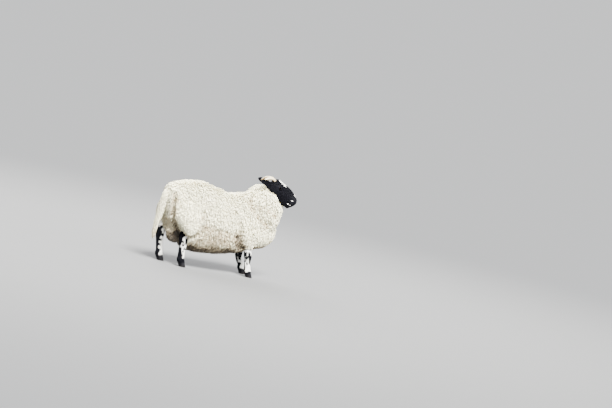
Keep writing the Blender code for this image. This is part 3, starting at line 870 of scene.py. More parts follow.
# Each foot's place on the floor, and the place of the hock or knee above it.
FRONT_FEET = {"left": (0.340, 0.080), "right": (0.316, -0.080)}
KNEES = {"left": (0.284, 0.082), "right": (0.282, -0.082)}
HIND_FEET = {"left": (-0.376, 0.090), "right": (-0.272, -0.090)}
HOCKS = {"left": (-0.408, 0.096), "right": (-0.298, -0.096)}
KNEE_HEIGHT, HOCK_HEIGHT, FORE_SOCKET, HIND_SOCKET = 0.160, 0.236, 0.250, 0.300


def thigh_stations(side: str) -> tuple:
    """Hip to hock. The far leg stands further back, so its lower sections do too."""
    s = SIDES[side]
    hock_x = HOCKS[side][0]
    back = hock_x - HOCKS["right"][0]
    bare = 1.0 if side == "right" else 0.45
    return (
        (-0.318 + 0.1 * back, 0.070 * s, 0.520, 0.088, 0.125, 0.118),
        (-0.312 + 0.3 * back, 0.098 * s, 0.430, 0.090, 0.134, 0.124),
        (-0.304 + 0.6 * back, 0.110 * s, 0.355, 0.086, 0.144, 0.114),
        (-0.300 + 0.8 * back, 0.111 * s, 0.302, 0.078, 0.130, 0.088 - 0.026 * bare),
        (-0.296 + 0.9 * back, 0.106 * s, 0.262, 0.063, 0.100, 0.058 - 0.034 * bare),
        (-0.294 + back, 0.101 * s, 0.238, 0.045, 0.064, 0.040 - 0.028 * bare),
    )


def forearm_stations(side: str) -> tuple:
    """Shoulder to just above the knee."""
    s = SIDES[side]
    knee_x, knee_y = KNEES[side]
    return (
        (0.262, 0.072 * s, 0.400, 0.070, 0.105, 0.095),
        (0.5 * (0.262 + knee_x - 0.014), 0.082 * s, 0.300, 0.058, 0.082, 0.074),
        (knee_x - 0.014, 0.083 * s, 0.245, 0.045, 0.056, 0.052),
        (knee_x - 0.010, knee_y, 0.208, 0.033, 0.037, 0.036),
    )


@dataclass
class Body:
    """Trunk, neck and upper legs blended into one woolly form, and the tail."""

    voxel: float = 0.010
    soften: int = 8
    rings: int = 44  # rings of each tube before they are blended
    most_pressed: float = 0.026  # deepest that crossing folds press together
    coat_share: float = 0.26  # depth of the coat, as a share of the half width it grows on
    shallowest: float = 0.011
    deepest: float = 0.046
    tubes: dict[str, Tube] = field(default_factory=dict)

    def __post_init__(self) -> None:
        """Sets up the tubes that blend."""
        trunk = tuple((x, 0.0, level, half, up, down) for x, level, half, up, down in TRUNK)
        self.tubes = {
            "trunk": Tube(trunk, (0, 0, 1), (0.035, 0.035), 2.2),
            "neck": Tube(NECK, (0, 0, 1), (0.05, 0.05), 2.1),
            "udder": Tube(UDDER, (1, 0, 0), (0.03, 0.035), 2.2),
        }
        for side in SIDES:
            self.tubes[f"thigh_{side}"] = Tube(thigh_stations(side), (1, 0, 0), (0.05, 0.020))
            self.tubes[f"forearm_{side}"] = Tube(forearm_stations(side), (1, 0, 0), (0.05, 0.012))

    def parts(self, points: Rows) -> tuple[Rows, Rows, Rows]:
        """Which tube each point belongs to, its place on the unwrap, and the coat's depth there.

        A point belongs to the tube that it lies deepest in. The depth is a mean over the tubes that
        weighs each by how deep the point lies in it, so that it changes smoothly.
        """
        found = [tube.locate(points) for tube in self.tubes.values()]
        reach = np.stack([f[2] for f in found])
        wide = np.stack([f[3] for f in found])
        weight = np.exp(-(reach - reach.min(axis=0)) / 0.08)
        depth = np.clip(self.coat_share * wide, self.shallowest, self.deepest)
        owner = reach.argmin(axis=0)
        unwrap = np.zeros((len(points), 2))
        for k, (name, (share, angle, _, _)) in enumerate(zip(self.tubes, found)):
            mine = owner == k
            unwrap[mine] = UNWRAP[name].at(share[mine], angle[mine])
        return owner, unwrap, (weight * depth).sum(axis=0) / weight.sum(axis=0)

    def form(self) -> Surface:
        """The blended form: tubes joined by a voxel remesh and softened."""
        shells = []
        for tube in self.tubes.values():
            points, faces = closed_grid(*tube.grid(tube.rings(self.rings), even_angles(48)))
            shells.append(Shell.plain(points, faces))
        scratch = mesh_object("form", joined(shells))
        remesh = scratch.modifiers.new("blend", "REMESH")
        remesh.mode = "VOXEL"
        remesh.voxel_size = self.voxel
        smooth = scratch.modifiers.new("soften", "SMOOTH")
        smooth.factor = 0.5
        smooth.iterations = self.soften
        bpy.context.view_layer.update()
        mesh = scratch.evaluated_get(bpy.context.evaluated_depsgraph_get()).to_mesh()
        mesh.calc_loop_triangles()
        points = np.empty(len(mesh.vertices) * 3, np.float32)
        mesh.vertices.foreach_get("co", points)
        tri = np.empty(len(mesh.loop_triangles) * 3, np.int32)
        mesh.loop_triangles.foreach_get("vertices", tri)
        points = points.reshape(-1, 3).astype(float)
        faces = [tri.reshape(-1, 3).astype(np.int64)]
        bpy.data.objects.remove(scratch)
        press = np.sum([fold.depth * fold.closeness(points) for fold in FOLDS.values()], axis=0)
        points = points - vertex_normals(points, faces) * np.minimum(press, self.most_pressed)[:, None]
        depth = self.parts(points)[2]
        return Surface("body", Cover.WOOL, points, faces, depth, points, lambda p: self.parts(p)[1])

    def tail(self) -> Surface:
        """The hanging tail, a flattened tube with rounded ends."""
        tube = Tube(TAIL, (1, 0, 0), (0.012, 0.02))
        points, faces = closed_grid(*tube.grid(tube.rings(self.rings), even_angles(32)))
        depth = np.clip(0.34 * tube.locate(points)[3], 0.004, 0.013)
        return Surface("tail", Cover.WOOL, points, faces, depth, points, partial(tube.unwrapped, "tail"))


# --- head ---

HEAD_PLACE = np.array([0.352, -0.060, 0.766])
HEAD_YAW, HEAD_PITCH = math.radians(-22), math.radians(29)
HEAD = (
    (-0.032, 0.043, 0.013, 0.056, 0.032),
    (0.000, 0.056, 0.030, 0.071, 0.032),
    (0.037, 0.062, 0.071, 0.071, 0.026),
    (0.071, 0.060, 0.072, 0.075, 0.021),
    (0.107, 0.051, 0.067, 0.080, 0.016),
    (0.139, 0.043, 0.065, 0.078, 0.014),
    (0.175, 0.038, 0.060, 0.073, 0.013),
    (0.212, 0.037, 0.050, 0.066, 0.013),
    (0.240, 0.037, 0.040, 0.061, 0.014),
    (0.258, 0.035, 0.034, 0.053, 0.017),
)
# Bells raised on both sides of the face: height, place along x and z, and spread along x and z.
FACE_BELLS = (
    (0.0062, 0.076, 0.026, 0.022, 0.010),  # brow
    (-0.003, 0.078, 0.004, 0.016, 0.010),  # bed of the eye
    (-0.006, 0.120, 0.012, 0.022, 0.022),  # hollow before the eye
    (0.006, 0.058, -0.046, 0.040, 0.022),  # cheek
    (0.0022, 0.128, -0.022, 0.034, 0.006),  # crest of the cheek
    (-0.0020, 0.102, -0.003, 0.008, 0.005),  # pit at the eye's front corner
    (0.0045, 0.252, -0.004, 0.012, 0.014),  # wing of the nostril
    (0.0016, 0.232, -0.030, 0.022, 0.010),  # upper lip
)
EYE_PLACE = np.array([0.078, 0.0510, 0.006])
EYE_RADIUS = 0.0135
EYE_TILT = math.radians(14)  # the front corner of the eye is the lower one
EYE_OPENING = (0.0122, 0.0080)  # half length and half height between the lids


YAW = turn_about(2, HEAD_YAW)
HEAD_TURN = YAW @ turn_about(1, HEAD_PITCH)


def from_head(local: Rows) -> Rows:
    """Points in the head's axes, put where the head is."""
    return local @ HEAD_TURN.T + HEAD_PLACE


def into_head(points: Rows) -> Rows:
    """Points of the figure, read in the head's axes."""
    return (points - HEAD_PLACE) @ HEAD_TURN


def eye_plane(x: Rows, z: Rows) -> tuple[Rows, Rows]:
    """Places beside the eye's middle, along its corners and across them."""
    dx, dz = x - EYE_PLACE[0], z - EYE_PLACE[2]
    c, s = math.cos(EYE_TILT), math.sin(EYE_TILT)
    return dx * c - dz * s, dx * s + dz * c


def eye_ring(x: Rows, z: Rows) -> Rows:
    """Distance from the eye's middle, where 1 is the edge of the lids."""
    a, b = eye_plane(x, z)
    return np.hypot(a / EYE_OPENING[0], b / EYE_OPENING[1])


@dataclass
class Head:
    """The head: its skin with lids, nostrils and lips, its ears, and where its hair lies."""

    lip_angle: float = math.radians(-19)
    lip_depth: float = 0.0046
    lip_width: float = math.radians(3.0)
    mouth_corner: float = 0.178
    hair_depth: float = 0.0022
    nose_thinner: float = 0.0012  # how much less that is on the nose
    lid_thickness: float = 0.0017
    upper_lid_more: float = 0.0007
    lid_gap: float = 0.0009  # least gap between ball and skin at the opening
    lid_gap_more: float = 0.0022  # how much wider the gap gets away from it
    rim_radius: float = 0.0013
    rim_swell: float = 0.0004  # how much thicker the rim is at the upper lid
    nostril: tuple[float, float, float] = (0.2605, 0.0175, -0.003)
    nostril_radii: tuple[float, float, float] = (0.0125, 0.0046, 0.0072)
    nostril_turn: float = math.radians(30)
    nostril_lean: float = math.radians(35)
    nostril_depth: float = 0.010
    nostril_rim: float = 0.0016
    ear_root: tuple[float, float, float] = (0.010, 0.050, -0.028)
    ear_direction: tuple[float, float, float] = (-0.72, 0.58, 0.30)
    ear_facing: tuple[float, float, float] = (0.50, 0.62, -0.20)
    ear_length: float = 0.116
    ear_width: float = 0.022
    ear_thickness: float = 0.0032
    ear_droop: float = 0.010
    ear_cup: float = 0.0075
    ear_hair: float = 0.0009

    def tube(self) -> Tube:
        """The plain tapering tube of the head, in its own axes."""
        stations = tuple((x, 0.0, -drop, half, up, down) for x, half, up, down, drop in HEAD)
        return Tube(stations, (0, 0, 1), (0.02, 0.030), 2.2)

    def form(self) -> Surface:
        """The head's surface at the tips of its hair.

        Over the tube lie bells for brow, cheek, crest and nostril wings, a mound that follows the
        eyeball's sphere for the lids with the opening pressed in behind them, slits for the nostrils, and
        a groove that fades out at the corner of the mouth.
        """
        tube = self.tube()
        at = tube.rings(176, [(0.100, 0.018, 2.2), (0.27, 0.03, 1.6)])
        near_eye, near_lips = (math.radians(22), 0.30, 2.0), (self.lip_angle, 0.12, 2.4)
        half = spaced(-math.pi / 2, math.pi / 2, 111, [near_eye, near_lips])
        angle = np.concatenate([half[:-1], math.pi - half[:0:-1]])
        rings, ends = tube.grid(at, angle)
        x, y, z = np.moveaxis(rings, -1, 0)
        side = np.sign(y) * (np.abs(y) > 0.006)
        for height, cx, cz, sx, sz in FACE_BELLS:
            y += side * height * bell(x, cx, sx) * bell(z, cz, sz)
        z += 0.0030 * bell(x, 0.150, 0.05) * bell(y, 0.0, 0.022) * (z > 0)
        z -= 0.0022 * bell(x, 0.224, 0.016) * (z < -0.04)
        self.open_lips(rings, angle)
        self.open_eyes(rings)
        self.open_nostrils(rings)
        points, faces = closed_grid(rings, ends)
        depth = self.hair_depth - self.nose_thinner * eased(0.19, 0.25, points[:, 0])
        ring = eye_ring(points[:, 0], points[:, 2])
        depth *= np.where(np.abs(points[:, 1]) > 0.03, eased(1.0, 1.9, ring), 1.0)

        def place(there: Rows) -> Rows:
            """Places of points of the figure on the head's unwrap."""
            return tube.unwrapped("head", into_head(there))

        return Surface("head", Cover.HAIR, from_head(points), faces, depth, points, place)

    def open_lips(self, rings: Rows, angle: Rows) -> None:
        """Draws in the line between the lips, and the cleft of the upper lip under the nose."""
        x, y, z = np.moveaxis(rings, -1, 0)
        off = np.minimum(np.abs(angle - self.lip_angle), np.abs(angle - (math.pi - self.lip_angle)))
        groove = self.lip_depth * bell(off, 0, self.lip_width * 0.6) - 0.0012 * bell(off, 0.13, 0.07)
        fade = eased(self.mouth_corner, self.mouth_corner + 0.02, x)
        cleft = 0.0024 * bell(y, 0, 0.0022) * eased(0.244, 0.256, x) * eased(-0.034, -0.026, z) * (z < 0.006)
        away = unit(rings - np.array([0.205, 0.0, -0.036]))
        rings -= away * (groove * fade + cleft)[..., None]

    def open_eyes(self, rings: Rows) -> None:
        """Wraps the lids over the eyeball and presses the opening in behind them."""
        x, y, z = np.moveaxis(rings, -1, 0)
        a, b = eye_plane(x, z)
        ring = eye_ring(x, z)
        over = self.over_ball(a, b, EYE_RADIUS + self.lid_thickness + self.upper_lid_more * (b > 0))
        deep = np.abs(y)
        facing = deep > 0.032
        mound = np.where(facing, eased(2.05, 1.15, ring), 0)
        raised = np.where(over > EYE_PLACE[1], np.maximum(deep, over), deep)
        deep = deep + (raised - deep) * mound
        crease = 0.0016 * bell(ring, 1.62, 0.13) * (b > -0.002) + 0.0009 * bell(ring, 1.8, 0.14) * (b < 0)
        deep = deep - crease * facing
        # The skin stays clear of the ball all round the lids, its own depth included.
        gap = self.lid_gap + self.lid_gap_more * eased(1.0, 1.9, ring)
        least = self.over_ball(a, b, EYE_RADIUS + gap)
        deep = np.where(facing & (least > EYE_PLACE[1]), np.maximum(deep, least), deep)
        hole = np.where(facing, eased(1.06, 0.92, ring), 0)
        deep = deep + (EYE_PLACE[1] - 0.001 - deep) * hole
        y[...] = np.where(facing, np.sign(y) * deep, y)

    @staticmethod
    def over_ball(a: Rows, b: Rows, radius: Rows) -> Rows:
        """How far out a sphere round the eye's middle reaches, over places in the eye's plane."""
        return EYE_PLACE[1] + np.sqrt(np.clip(radius**2 - a**2 - b**2, 0, None))

    def open_nostrils(self, rings: Rows) -> None:
        """Presses in the nostrils' slanting slits, with a raised wing round each."""
        turn = turn_about(2, self.nostril_turn) @ turn_about(0, self.nostril_lean)
        within = ((to_left(rings) - np.array(self.nostril)) @ turn) / np.array(self.nostril_radii)
        off = np.linalg.norm(within, axis=-1)
        inward = unit(np.array([0.205, 0.0, -0.018]) - rings)
        push = self.nostril_depth * eased(1.12, 0.55, off) - self.nostril_rim * bell(off, 1.5, 0.28)
        rings += inward * push[..., None]

    def lids(self) -> list[Shell]:
        """A fine dark rim along each lid: a small round profile carried along the eye's opening.

        The rim's path is (A cos t, B sin t) in the eye's plane, lifted onto a sphere just over the ball.
        """
        turn, round_ = even_angles(72), even_angles(10)
        a, b = 1.02 * EYE_OPENING[0] * np.cos(turn), 1.04 * EYE_OPENING[1] * np.sin(turn)
        out = np.sqrt(np.clip((EYE_RADIUS + 0.0004) ** 2 - a**2 - b**2, 0, None))
        c, s = math.cos(EYE_TILT), math.sin(EYE_TILT)
        path = EYE_PLACE + beside(a * c + b * s, out, -a * s + b * c)
        outward = unit(path - EYE_PLACE)
        tangent = unit(np.roll(path, -1, axis=0) - np.roll(path, 1, axis=0))
        aside = np.cross(tangent, outward)
        radius = self.rim_radius + self.rim_swell * np.sin(turn)
        ring = (
            path[:, None]
            + radius[:, None, None] * np.cos(round_)[:, None] * aside[:, None]
            + radius[:, None, None] * np.sin(round_)[:, None] * outward[:, None]
        )
        index = np.arange(len(turn) * len(round_)).reshape(len(turn), len(round_))
        ahead, after = np.roll(index, -1, axis=0), np.roll(index, -1, axis=1)
        quads = beside(index, after, np.roll(ahead, -1, axis=1), ahead).reshape(-1, 4)
        mark = np.tile([1.0, 0.0, 0.0, 0.0], (index.size, 1))
        shells = []
        for side in SIDES:
            points = from_head(on_side(ring.reshape(-1, 3), side))
            shells.append(Shell(points, looking_out(points, [quads]), mark, points))
        return shells

    def ear_way(self, side: str) -> Rows:
        """The direction from an ear's root to its tip."""
        return YAW @ unit(on_side(self.ear_direction, side))

    def ear(self, side: str) -> Surface:
        """A leaf-shaped ear held out and back, cupped to the front, thin at its edge.

        The leaf's half width is a root of a parabola along it, and its middle is laid back from the line
        between its edges by a parabola across it.
        """
        root = from_head(on_side(self.ear_root, side))
        out = self.ear_way(side)
        facing = flattened(YAW @ on_side(self.ear_facing, side), out)
        across = np.cross(out, facing)
        share = np.linspace(-0.12, 1.0, 9)
        leaf = self.ear_width * np.sqrt(np.clip(1 - ((share - 0.42) / 0.60) ** 2, 0.01, 1))
        leaf = np.where(share < 0.1, 0.62 * self.ear_width, leaf)
        droop = np.array([0, 0, self.ear_droop]) * share[:, None] ** 2
        place = root + out * (share * self.ear_length)[:, None] - droop
        thick = self.ear_thickness * (1.9 - share)
        tube = Tube(np.column_stack([place, leaf, thick, thick]), facing, (0.0, 0.006))
        rings = tube.grid(tube.rings(44), even_angles(36))[0]
        middle = rings.mean(axis=1, keepdims=True)
        height = (rings - middle) @ across
        lean = self.ear_cup * (1 - (height / self.ear_width) ** 2)
        rings -= lean[..., None] * facing
        points, faces = closed_grid(rings)
        local = (points - root) @ np.stack([out, across, facing], axis=1)
        depth = np.full(len(points), self.ear_hair)
        name = f"ear_{side}"
        return Surface(name, Cover.HAIR, points, faces, depth, local, partial(tube.unwrapped, name))


# --- lower legs ---

CORONET_SLOPE = math.radians(24)
CORONET_HEIGHT = 0.033


@dataclass
class Shank:
    """A lower leg of short hair, from its socket in the fleece down to the coronet."""

    name: str
    side: str
    hair_depth: float = 0.0020
    tendon_hollow: float = 0.0017
    cleft_depth: float = 0.0022

    def stations(self) -> tuple:
        """Centre, half width, reach forwards and reach backwards, from the socket down."""
        if self.name == "hind_shank":
            hock_x, hock_y = HOCKS[self.side]
            foot_x, foot_y = HIND_FEET[self.side]
            fetlock_x = foot_x - 0.012
            mid_x = 0.45 * hock_x + 0.55 * fetlock_x
            return (
                (hock_x + 0.010, hock_y, HIND_SOCKET, 0.0240, 0.0283, 0.0330),
                (hock_x + 0.006, hock_y, 0.268, 0.0270, 0.0330, 0.0400),
                (hock_x + 0.002, hock_y, HOCK_HEIGHT + 0.006, 0.0289, 0.0349, 0.0403),
                (hock_x + 0.001, hock_y, HOCK_HEIGHT - 0.030, 0.0273, 0.0316, 0.0371),
                (hock_x + 0.005, hock_y, 0.165, 0.0234, 0.0262, 0.0305),
                (mid_x, 0.5 * (hock_y + foot_y), 0.118, 0.0213, 0.0234, 0.0262),
                (fetlock_x - 0.001, foot_y, 0.078, 0.0223, 0.0240, 0.0273),
                (fetlock_x + 0.001, foot_y, 0.058, 0.0256, 0.0262, 0.0300),
                (foot_x, foot_y, 0.034, 0.0256, 0.0262, 0.0240),
            )
        knee_x, knee_y = KNEES[self.side]
        foot_x, foot_y = FRONT_FEET[self.side]
        fetlock_x = foot_x - 0.014
        mid_x = 0.5 * (knee_x + fetlock_x)
        return (
            (knee_x - 0.018, knee_y, FORE_SOCKET, 0.0251, 0.0273, 0.0273),
            (knee_x - 0.008, knee_y, KNEE_HEIGHT + 0.032, 0.0267, 0.0289, 0.0294),
            (knee_x, knee_y, KNEE_HEIGHT, 0.0289, 0.0311, 0.0283),
            (knee_x + 0.006, knee_y, 0.130, 0.0240, 0.0251, 0.0245),
            (mid_x, 0.5 * (knee_y + foot_y), 0.098, 0.0207, 0.0218, 0.0229),
            (fetlock_x - 0.001, foot_y, 0.074, 0.0223, 0.0234, 0.0256),
            (fetlock_x + 0.002, foot_y, 0.057, 0.0251, 0.0256, 0.0283),
            (foot_x, foot_y, 0.034, 0.0256, 0.0262, 0.0240),
        )

    @property
    def foot(self) -> tuple[float, float]:
        """The foot's place on the floor."""
        return (HIND_FEET if self.name == "hind_shank" else FRONT_FEET)[self.side]

    def form(self) -> Surface:
        """The leg's surface at the tips of its hair, with the hollow between bone and tendon.

        The tube's lowest ring is laid on the coronet's sloping plane.
        """
        tube = Tube(self.stations(), (1, 0, 0), (0, 0), 2.1)
        angle = even_angles(40)
        rings = tube.grid(tube.rings(70), angle)[0]
        centre = rings.mean(axis=1, keepdims=True)
        z = rings[..., 2]
        tendon = self.tendon_hollow * bell(z, 0.112, 0.030) * bell(np.abs(np.sin(angle + 0.35)), 0, 0.30)
        cleft = self.cleft_depth * bell(z, 0.046, 0.012) * bell(np.abs(np.cos(angle)), 0, 0.22)
        rings -= unit(rings - centre) * (tendon + cleft)[..., None]
        last = rings[-1]
        last[:, 2] = CORONET_HEIGHT + 0.0005 + math.tan(CORONET_SLOPE) * (last[:, 0] - self.foot[0])
        points, faces = closed_grid(rings)
        depth = np.full(len(points), self.hair_depth)
        name = f"{self.name}_{self.side}"
        local = points[:, [2, 0, 1]]
        return Surface(name, Cover.HAIR, points, faces, depth, local, partial(tube.unwrapped, name))

    def centres(self, points: Rows) -> Rows:
        """The middle of the leg at each point's height."""
        stations = np.array(self.stations())[::-1]
        return beside(*(np.interp(points[:, 2], stations[:, 2], stations[:, k]) for k in (0, 1)))


# --- horns, eyes and claws ---


@dataclass
class Horn:
    """A short horn sweeping back, out and down, with growth rings."""

    side: str
    # Back, up and out from its root, with the radius there.
    path: tuple = (
        (-0.018, -0.014, -0.003, 0.0165),
        (0.000, -0.002, 0.000, 0.0170),
        (0.020, 0.000, 0.012, 0.0160),
        (0.042, -0.005, 0.028, 0.0138),
        (0.062, -0.017, 0.040, 0.0106),
        (0.073, -0.033, 0.046, 0.0073),
        (0.074, -0.048, 0.046, 0.0042),
    )
    root: tuple[float, float, float] = (-0.008, 0.027, 0.022)
    flatness: float = 0.78
    ring_length: float = 0.0062
    ring_height: float = 0.032

    def shell(self) -> Shell:
        """The horn's surface: a tapering tube whose radius swells in rings that crowd towards the root.

        The swelling is ring_height * (1 - 2 |sin|^0.6) of a phase that runs along the horn and leans
        with the angle, plus a fine ripple.
        """
        back, up, out, radius = np.array(self.path).T
        outward = YAW @ on_side((0, 1, 0), self.side)
        place = from_head(on_side(self.root, self.side))
        place = place + on_side(np.column_stack([-back, out, up]), self.side) @ YAW.T
        stations = np.column_stack([place, radius * self.flatness, radius, radius])
        tube = Tube(stations, outward, (0.0, 0.005))
        at = tube.rings(110)
        angle = even_angles(36)
        rings, ends = tube.grid(at, angle)
        centre = rings.mean(axis=1, keepdims=True)
        lean = at[:, None] + 0.003 * np.sin(angle)[None]
        phase = lean / self.ring_length * math.pi
        swell = self.ring_height * (1 - 2 * np.abs(np.sin(phase)) ** 0.6)
        swell -= 0.018 * np.abs(np.sin(phase * 4.1 + 0.6)) * 0.5
        fade = eased(at[-1], at[-1] - 0.03, at)[:, None]
        rings = centre + (rings - centre) * (1 + swell * fade - self.ring_height)[..., None]
        points, faces = closed_grid(rings, np.array([rings[0].mean(axis=0), ends[1]]))
        share = np.append(np.repeat(at / at[-1], len(angle)), [0.0, 1.0])
        middle = centre[:, 0]
        middle = np.append(np.repeat(middle, len(angle), axis=0), middle[[0, -1]], axis=0)
        facing = unit(points - middle)
        # Painted shade: the horn's downward and inner faces are marked to come out brown.
        below = -0.85 * facing[:, 2] - 0.45 * (facing @ outward)
        inner = eased(-0.35, 0.45, below)
        mark = beside(inner, swell_of(swell, len(angle)), share, np.ones_like(share))
        lie = beside(share * 0.12, points[:, 1], points[:, 2])
        return Shell(points, faces, mark, lie)


def swell_of(swell: Rows, round_: int) -> Rows:
    """The rings' swelling as a value from 0 to 1 at every point, with the two poles added."""
    value = (swell - swell.min()) / max(float(np.ptp(swell)), 1e-9)
    return np.append(np.broadcast_to(value, (len(value), round_)).ravel(), [0.5, 0.5])


@dataclass
class Eye:
    """An eyeball with a sunken iris and a level slot of a pupil, under a clear bulging cornea."""

    side: str
    iris_angle: float = math.radians(43)
    iris_sink: float = 0.0016
    pupil_sink: float = 0.0005
    ball_gap: float = 0.0003  # how far the ball lies under its nominal radius
    film_gap: float = 0.0002  # how far the clear film does, away from its bulge
    film_bulge: float = 0.0006
    film_dive: float = 0.0010  # how deep the film's edge runs into the ball

    def basis(self) -> tuple[Rows, Rows]:
        """The eyeball's middle, and its axes: level, upwards, and out along the gaze."""
        gaze = unit(on_side((0.24, 1.0, 0.05), self.side))
        up = flattened(np.array([0.16, 0.0, 1.0]), gaze)
        level = np.cross(up, gaze)
        middle = from_head(on_side(EYE_PLACE, self.side))
        return middle, np.stack([level, up, gaze]) @ HEAD_TURN.T

    def sphere(self, radius: Callable[[Rows], Rows], rings: int) -> Shell:
        """A surface of turning about the gaze: radius(angle from the gaze) over even angles."""
        away = np.linspace(0.03, math.pi - 0.06, rings)
        turn = even_angles(56)
        r = radius(away)
        wide = (r * np.sin(away))[:, None]
        level, up = wide * np.cos(turn), wide * np.sin(turn)
        out = np.broadcast_to((r * np.cos(away))[:, None], level.shape)
        flat = beside(level, up, out)
        ends = np.array([[0, 0, radius(np.array([0.0]))[0]], [0, 0, -radius(np.array([math.pi]))[0]]])
        points, faces = closed_grid(flat, ends)
        middle, axes = self.basis()
        placed = middle + points @ axes
        return Shell(placed, looking_out(placed, faces), np.zeros((len(points), 4)), points)

    def ball(self) -> Shell:
        """The eyeball: a sphere whose iris is laid back as a shallow dish."""

        def radius(away: Rows) -> Rows:
            """Distance from the ball's middle, less the iris's dish."""
            dish = self.iris_sink * eased(self.iris_angle, self.iris_angle * 0.72, away)
            return EYE_RADIUS - self.ball_gap - dish - self.pupil_sink * eased(0.42, 0.0, away)

        return self.sphere(radius, 60)

    def cornea(self) -> Shell:
        """A clear shell that bulges over the iris and sinks into the ball beyond it."""

        def radius(away: Rows) -> Rows:
            """Distance from the ball's middle: more over the iris, less beyond it."""
            bulge, dive = eased(0.85, 0.0, away), eased(0.9, 1.3, away)
            return EYE_RADIUS - self.film_gap + self.film_bulge * bulge - self.film_dive * dive

        return self.sphere(radius, 40)


@dataclass
class Claw:
    """One claw of a cloven hoof: inner wall flat, outer wall round, pointed toe, level sole."""

    end: str
    side: str
    place: str
    length_top: float = 0.0225
    length_sole: float = 0.0275
    width_top: float = 0.0110
    width_sole: float = 0.0122
    cleft: float = 0.0012
    inner_flatness: float = 0.12
    toe_reach: float = 0.014

    @property
    def name(self) -> str:
        """The name of the claw's solid."""
        return f"{self.end}_claw_{self.side}_{self.place}"

    def shell(self) -> Shell:
        """Ovals carried from the sole to the sloping coronet, pinched to the toe, with fine growth rings.

        A ring at share u of the height has length and width between those of sole and top. Its edge at
        the sole is drawn in a little, and its wall ripples by sin(26 u).
        """
        foot_x, foot_y = (HIND_FEET if self.end == "hind" else FRONT_FEET)[self.side]
        outward = SIDES[self.side] * (1 if self.place == "outer" else -1)
        angle = even_angles(36)
        along, aside = np.cos(angle), np.sin(angle)
        aside = np.where(aside * outward < 0, self.inner_flatness * aside, aside)
        narrowing = 1 - 0.45 * np.clip(along, 0, 1) ** 2
        share = np.concatenate([[0.0, 0.012, 0.03], np.linspace(0.06, 1.0, 26)])[:, None]
        edge = 1 - 0.035 * (1 - share / 0.03).clip(0) ** 2
        ridge = edge + 0.010 * np.sin(26 * share) * (1 - share) * (share > 0.03)
        length = (self.length_sole + (self.length_top - self.length_sole) * share) * ridge
        width = (self.width_sole + (self.width_top - self.width_sole) * share) * ridge
        x = foot_x + self.toe_reach * (1 - share) + length * along
        y = foot_y + outward * (self.cleft + 2 * width * self.inner_flatness) + 2 * width * aside * narrowing
        top = CORONET_HEIGHT + math.tan(CORONET_SLOPE) * (x - foot_x) - 0.0005
        rings = beside(x, y, top * share)
        points, faces = closed_grid(rings)
        mark = np.zeros((len(points), 4))
        mark[:, 2] = np.append(np.broadcast_to(share, x.shape).ravel(), [0.0, 1.0])
        return Shell(points, looking_out(points, faces), mark, points[:, [2, 0, 1]])


# --- fleece ---


def lie_of_wool(points: Rows, normals: Rows) -> Rows:
    """Which way the wool lies: down and a little back, falling to either side of the spine."""
    fall = np.tanh(points[:, 1] / 0.055)
    sway = 0.26 * ripple(points, 0.14, 3)
    aside = 0.5 * fall + 0.5 * sway * (1 - np.abs(fall))
    return flattened(beside(sway - 0.46, aside, np.full(len(points), -1.0)), normals)


@dataclass(frozen=True)
class WoolStyle:
    """How the wool grows on one surface."""

    lock_spacing: float
    strand_spacing: float
    length: float
    half_width: float
    curl: float  # radius of a strand's helix at its tip
    places: int = 6  # points along a strand
    pinch: float = 0.46  # how far a lock's strands draw together
    lift: float = 0.006  # how far lock tips vary about the coat's reach
    droop: float = 1.5  # how late a lock turns from growing out to lying down
    bend: float = 2.2  # how early a lock leaves the skin
    under: float = 0.0022  # how far under the coat's reach a level lock ends
    stain_shade_share: float = 1.0  # share of the body's stain and painted shade that shows
    flatness: float = 0.62
    tries: float = 7.0


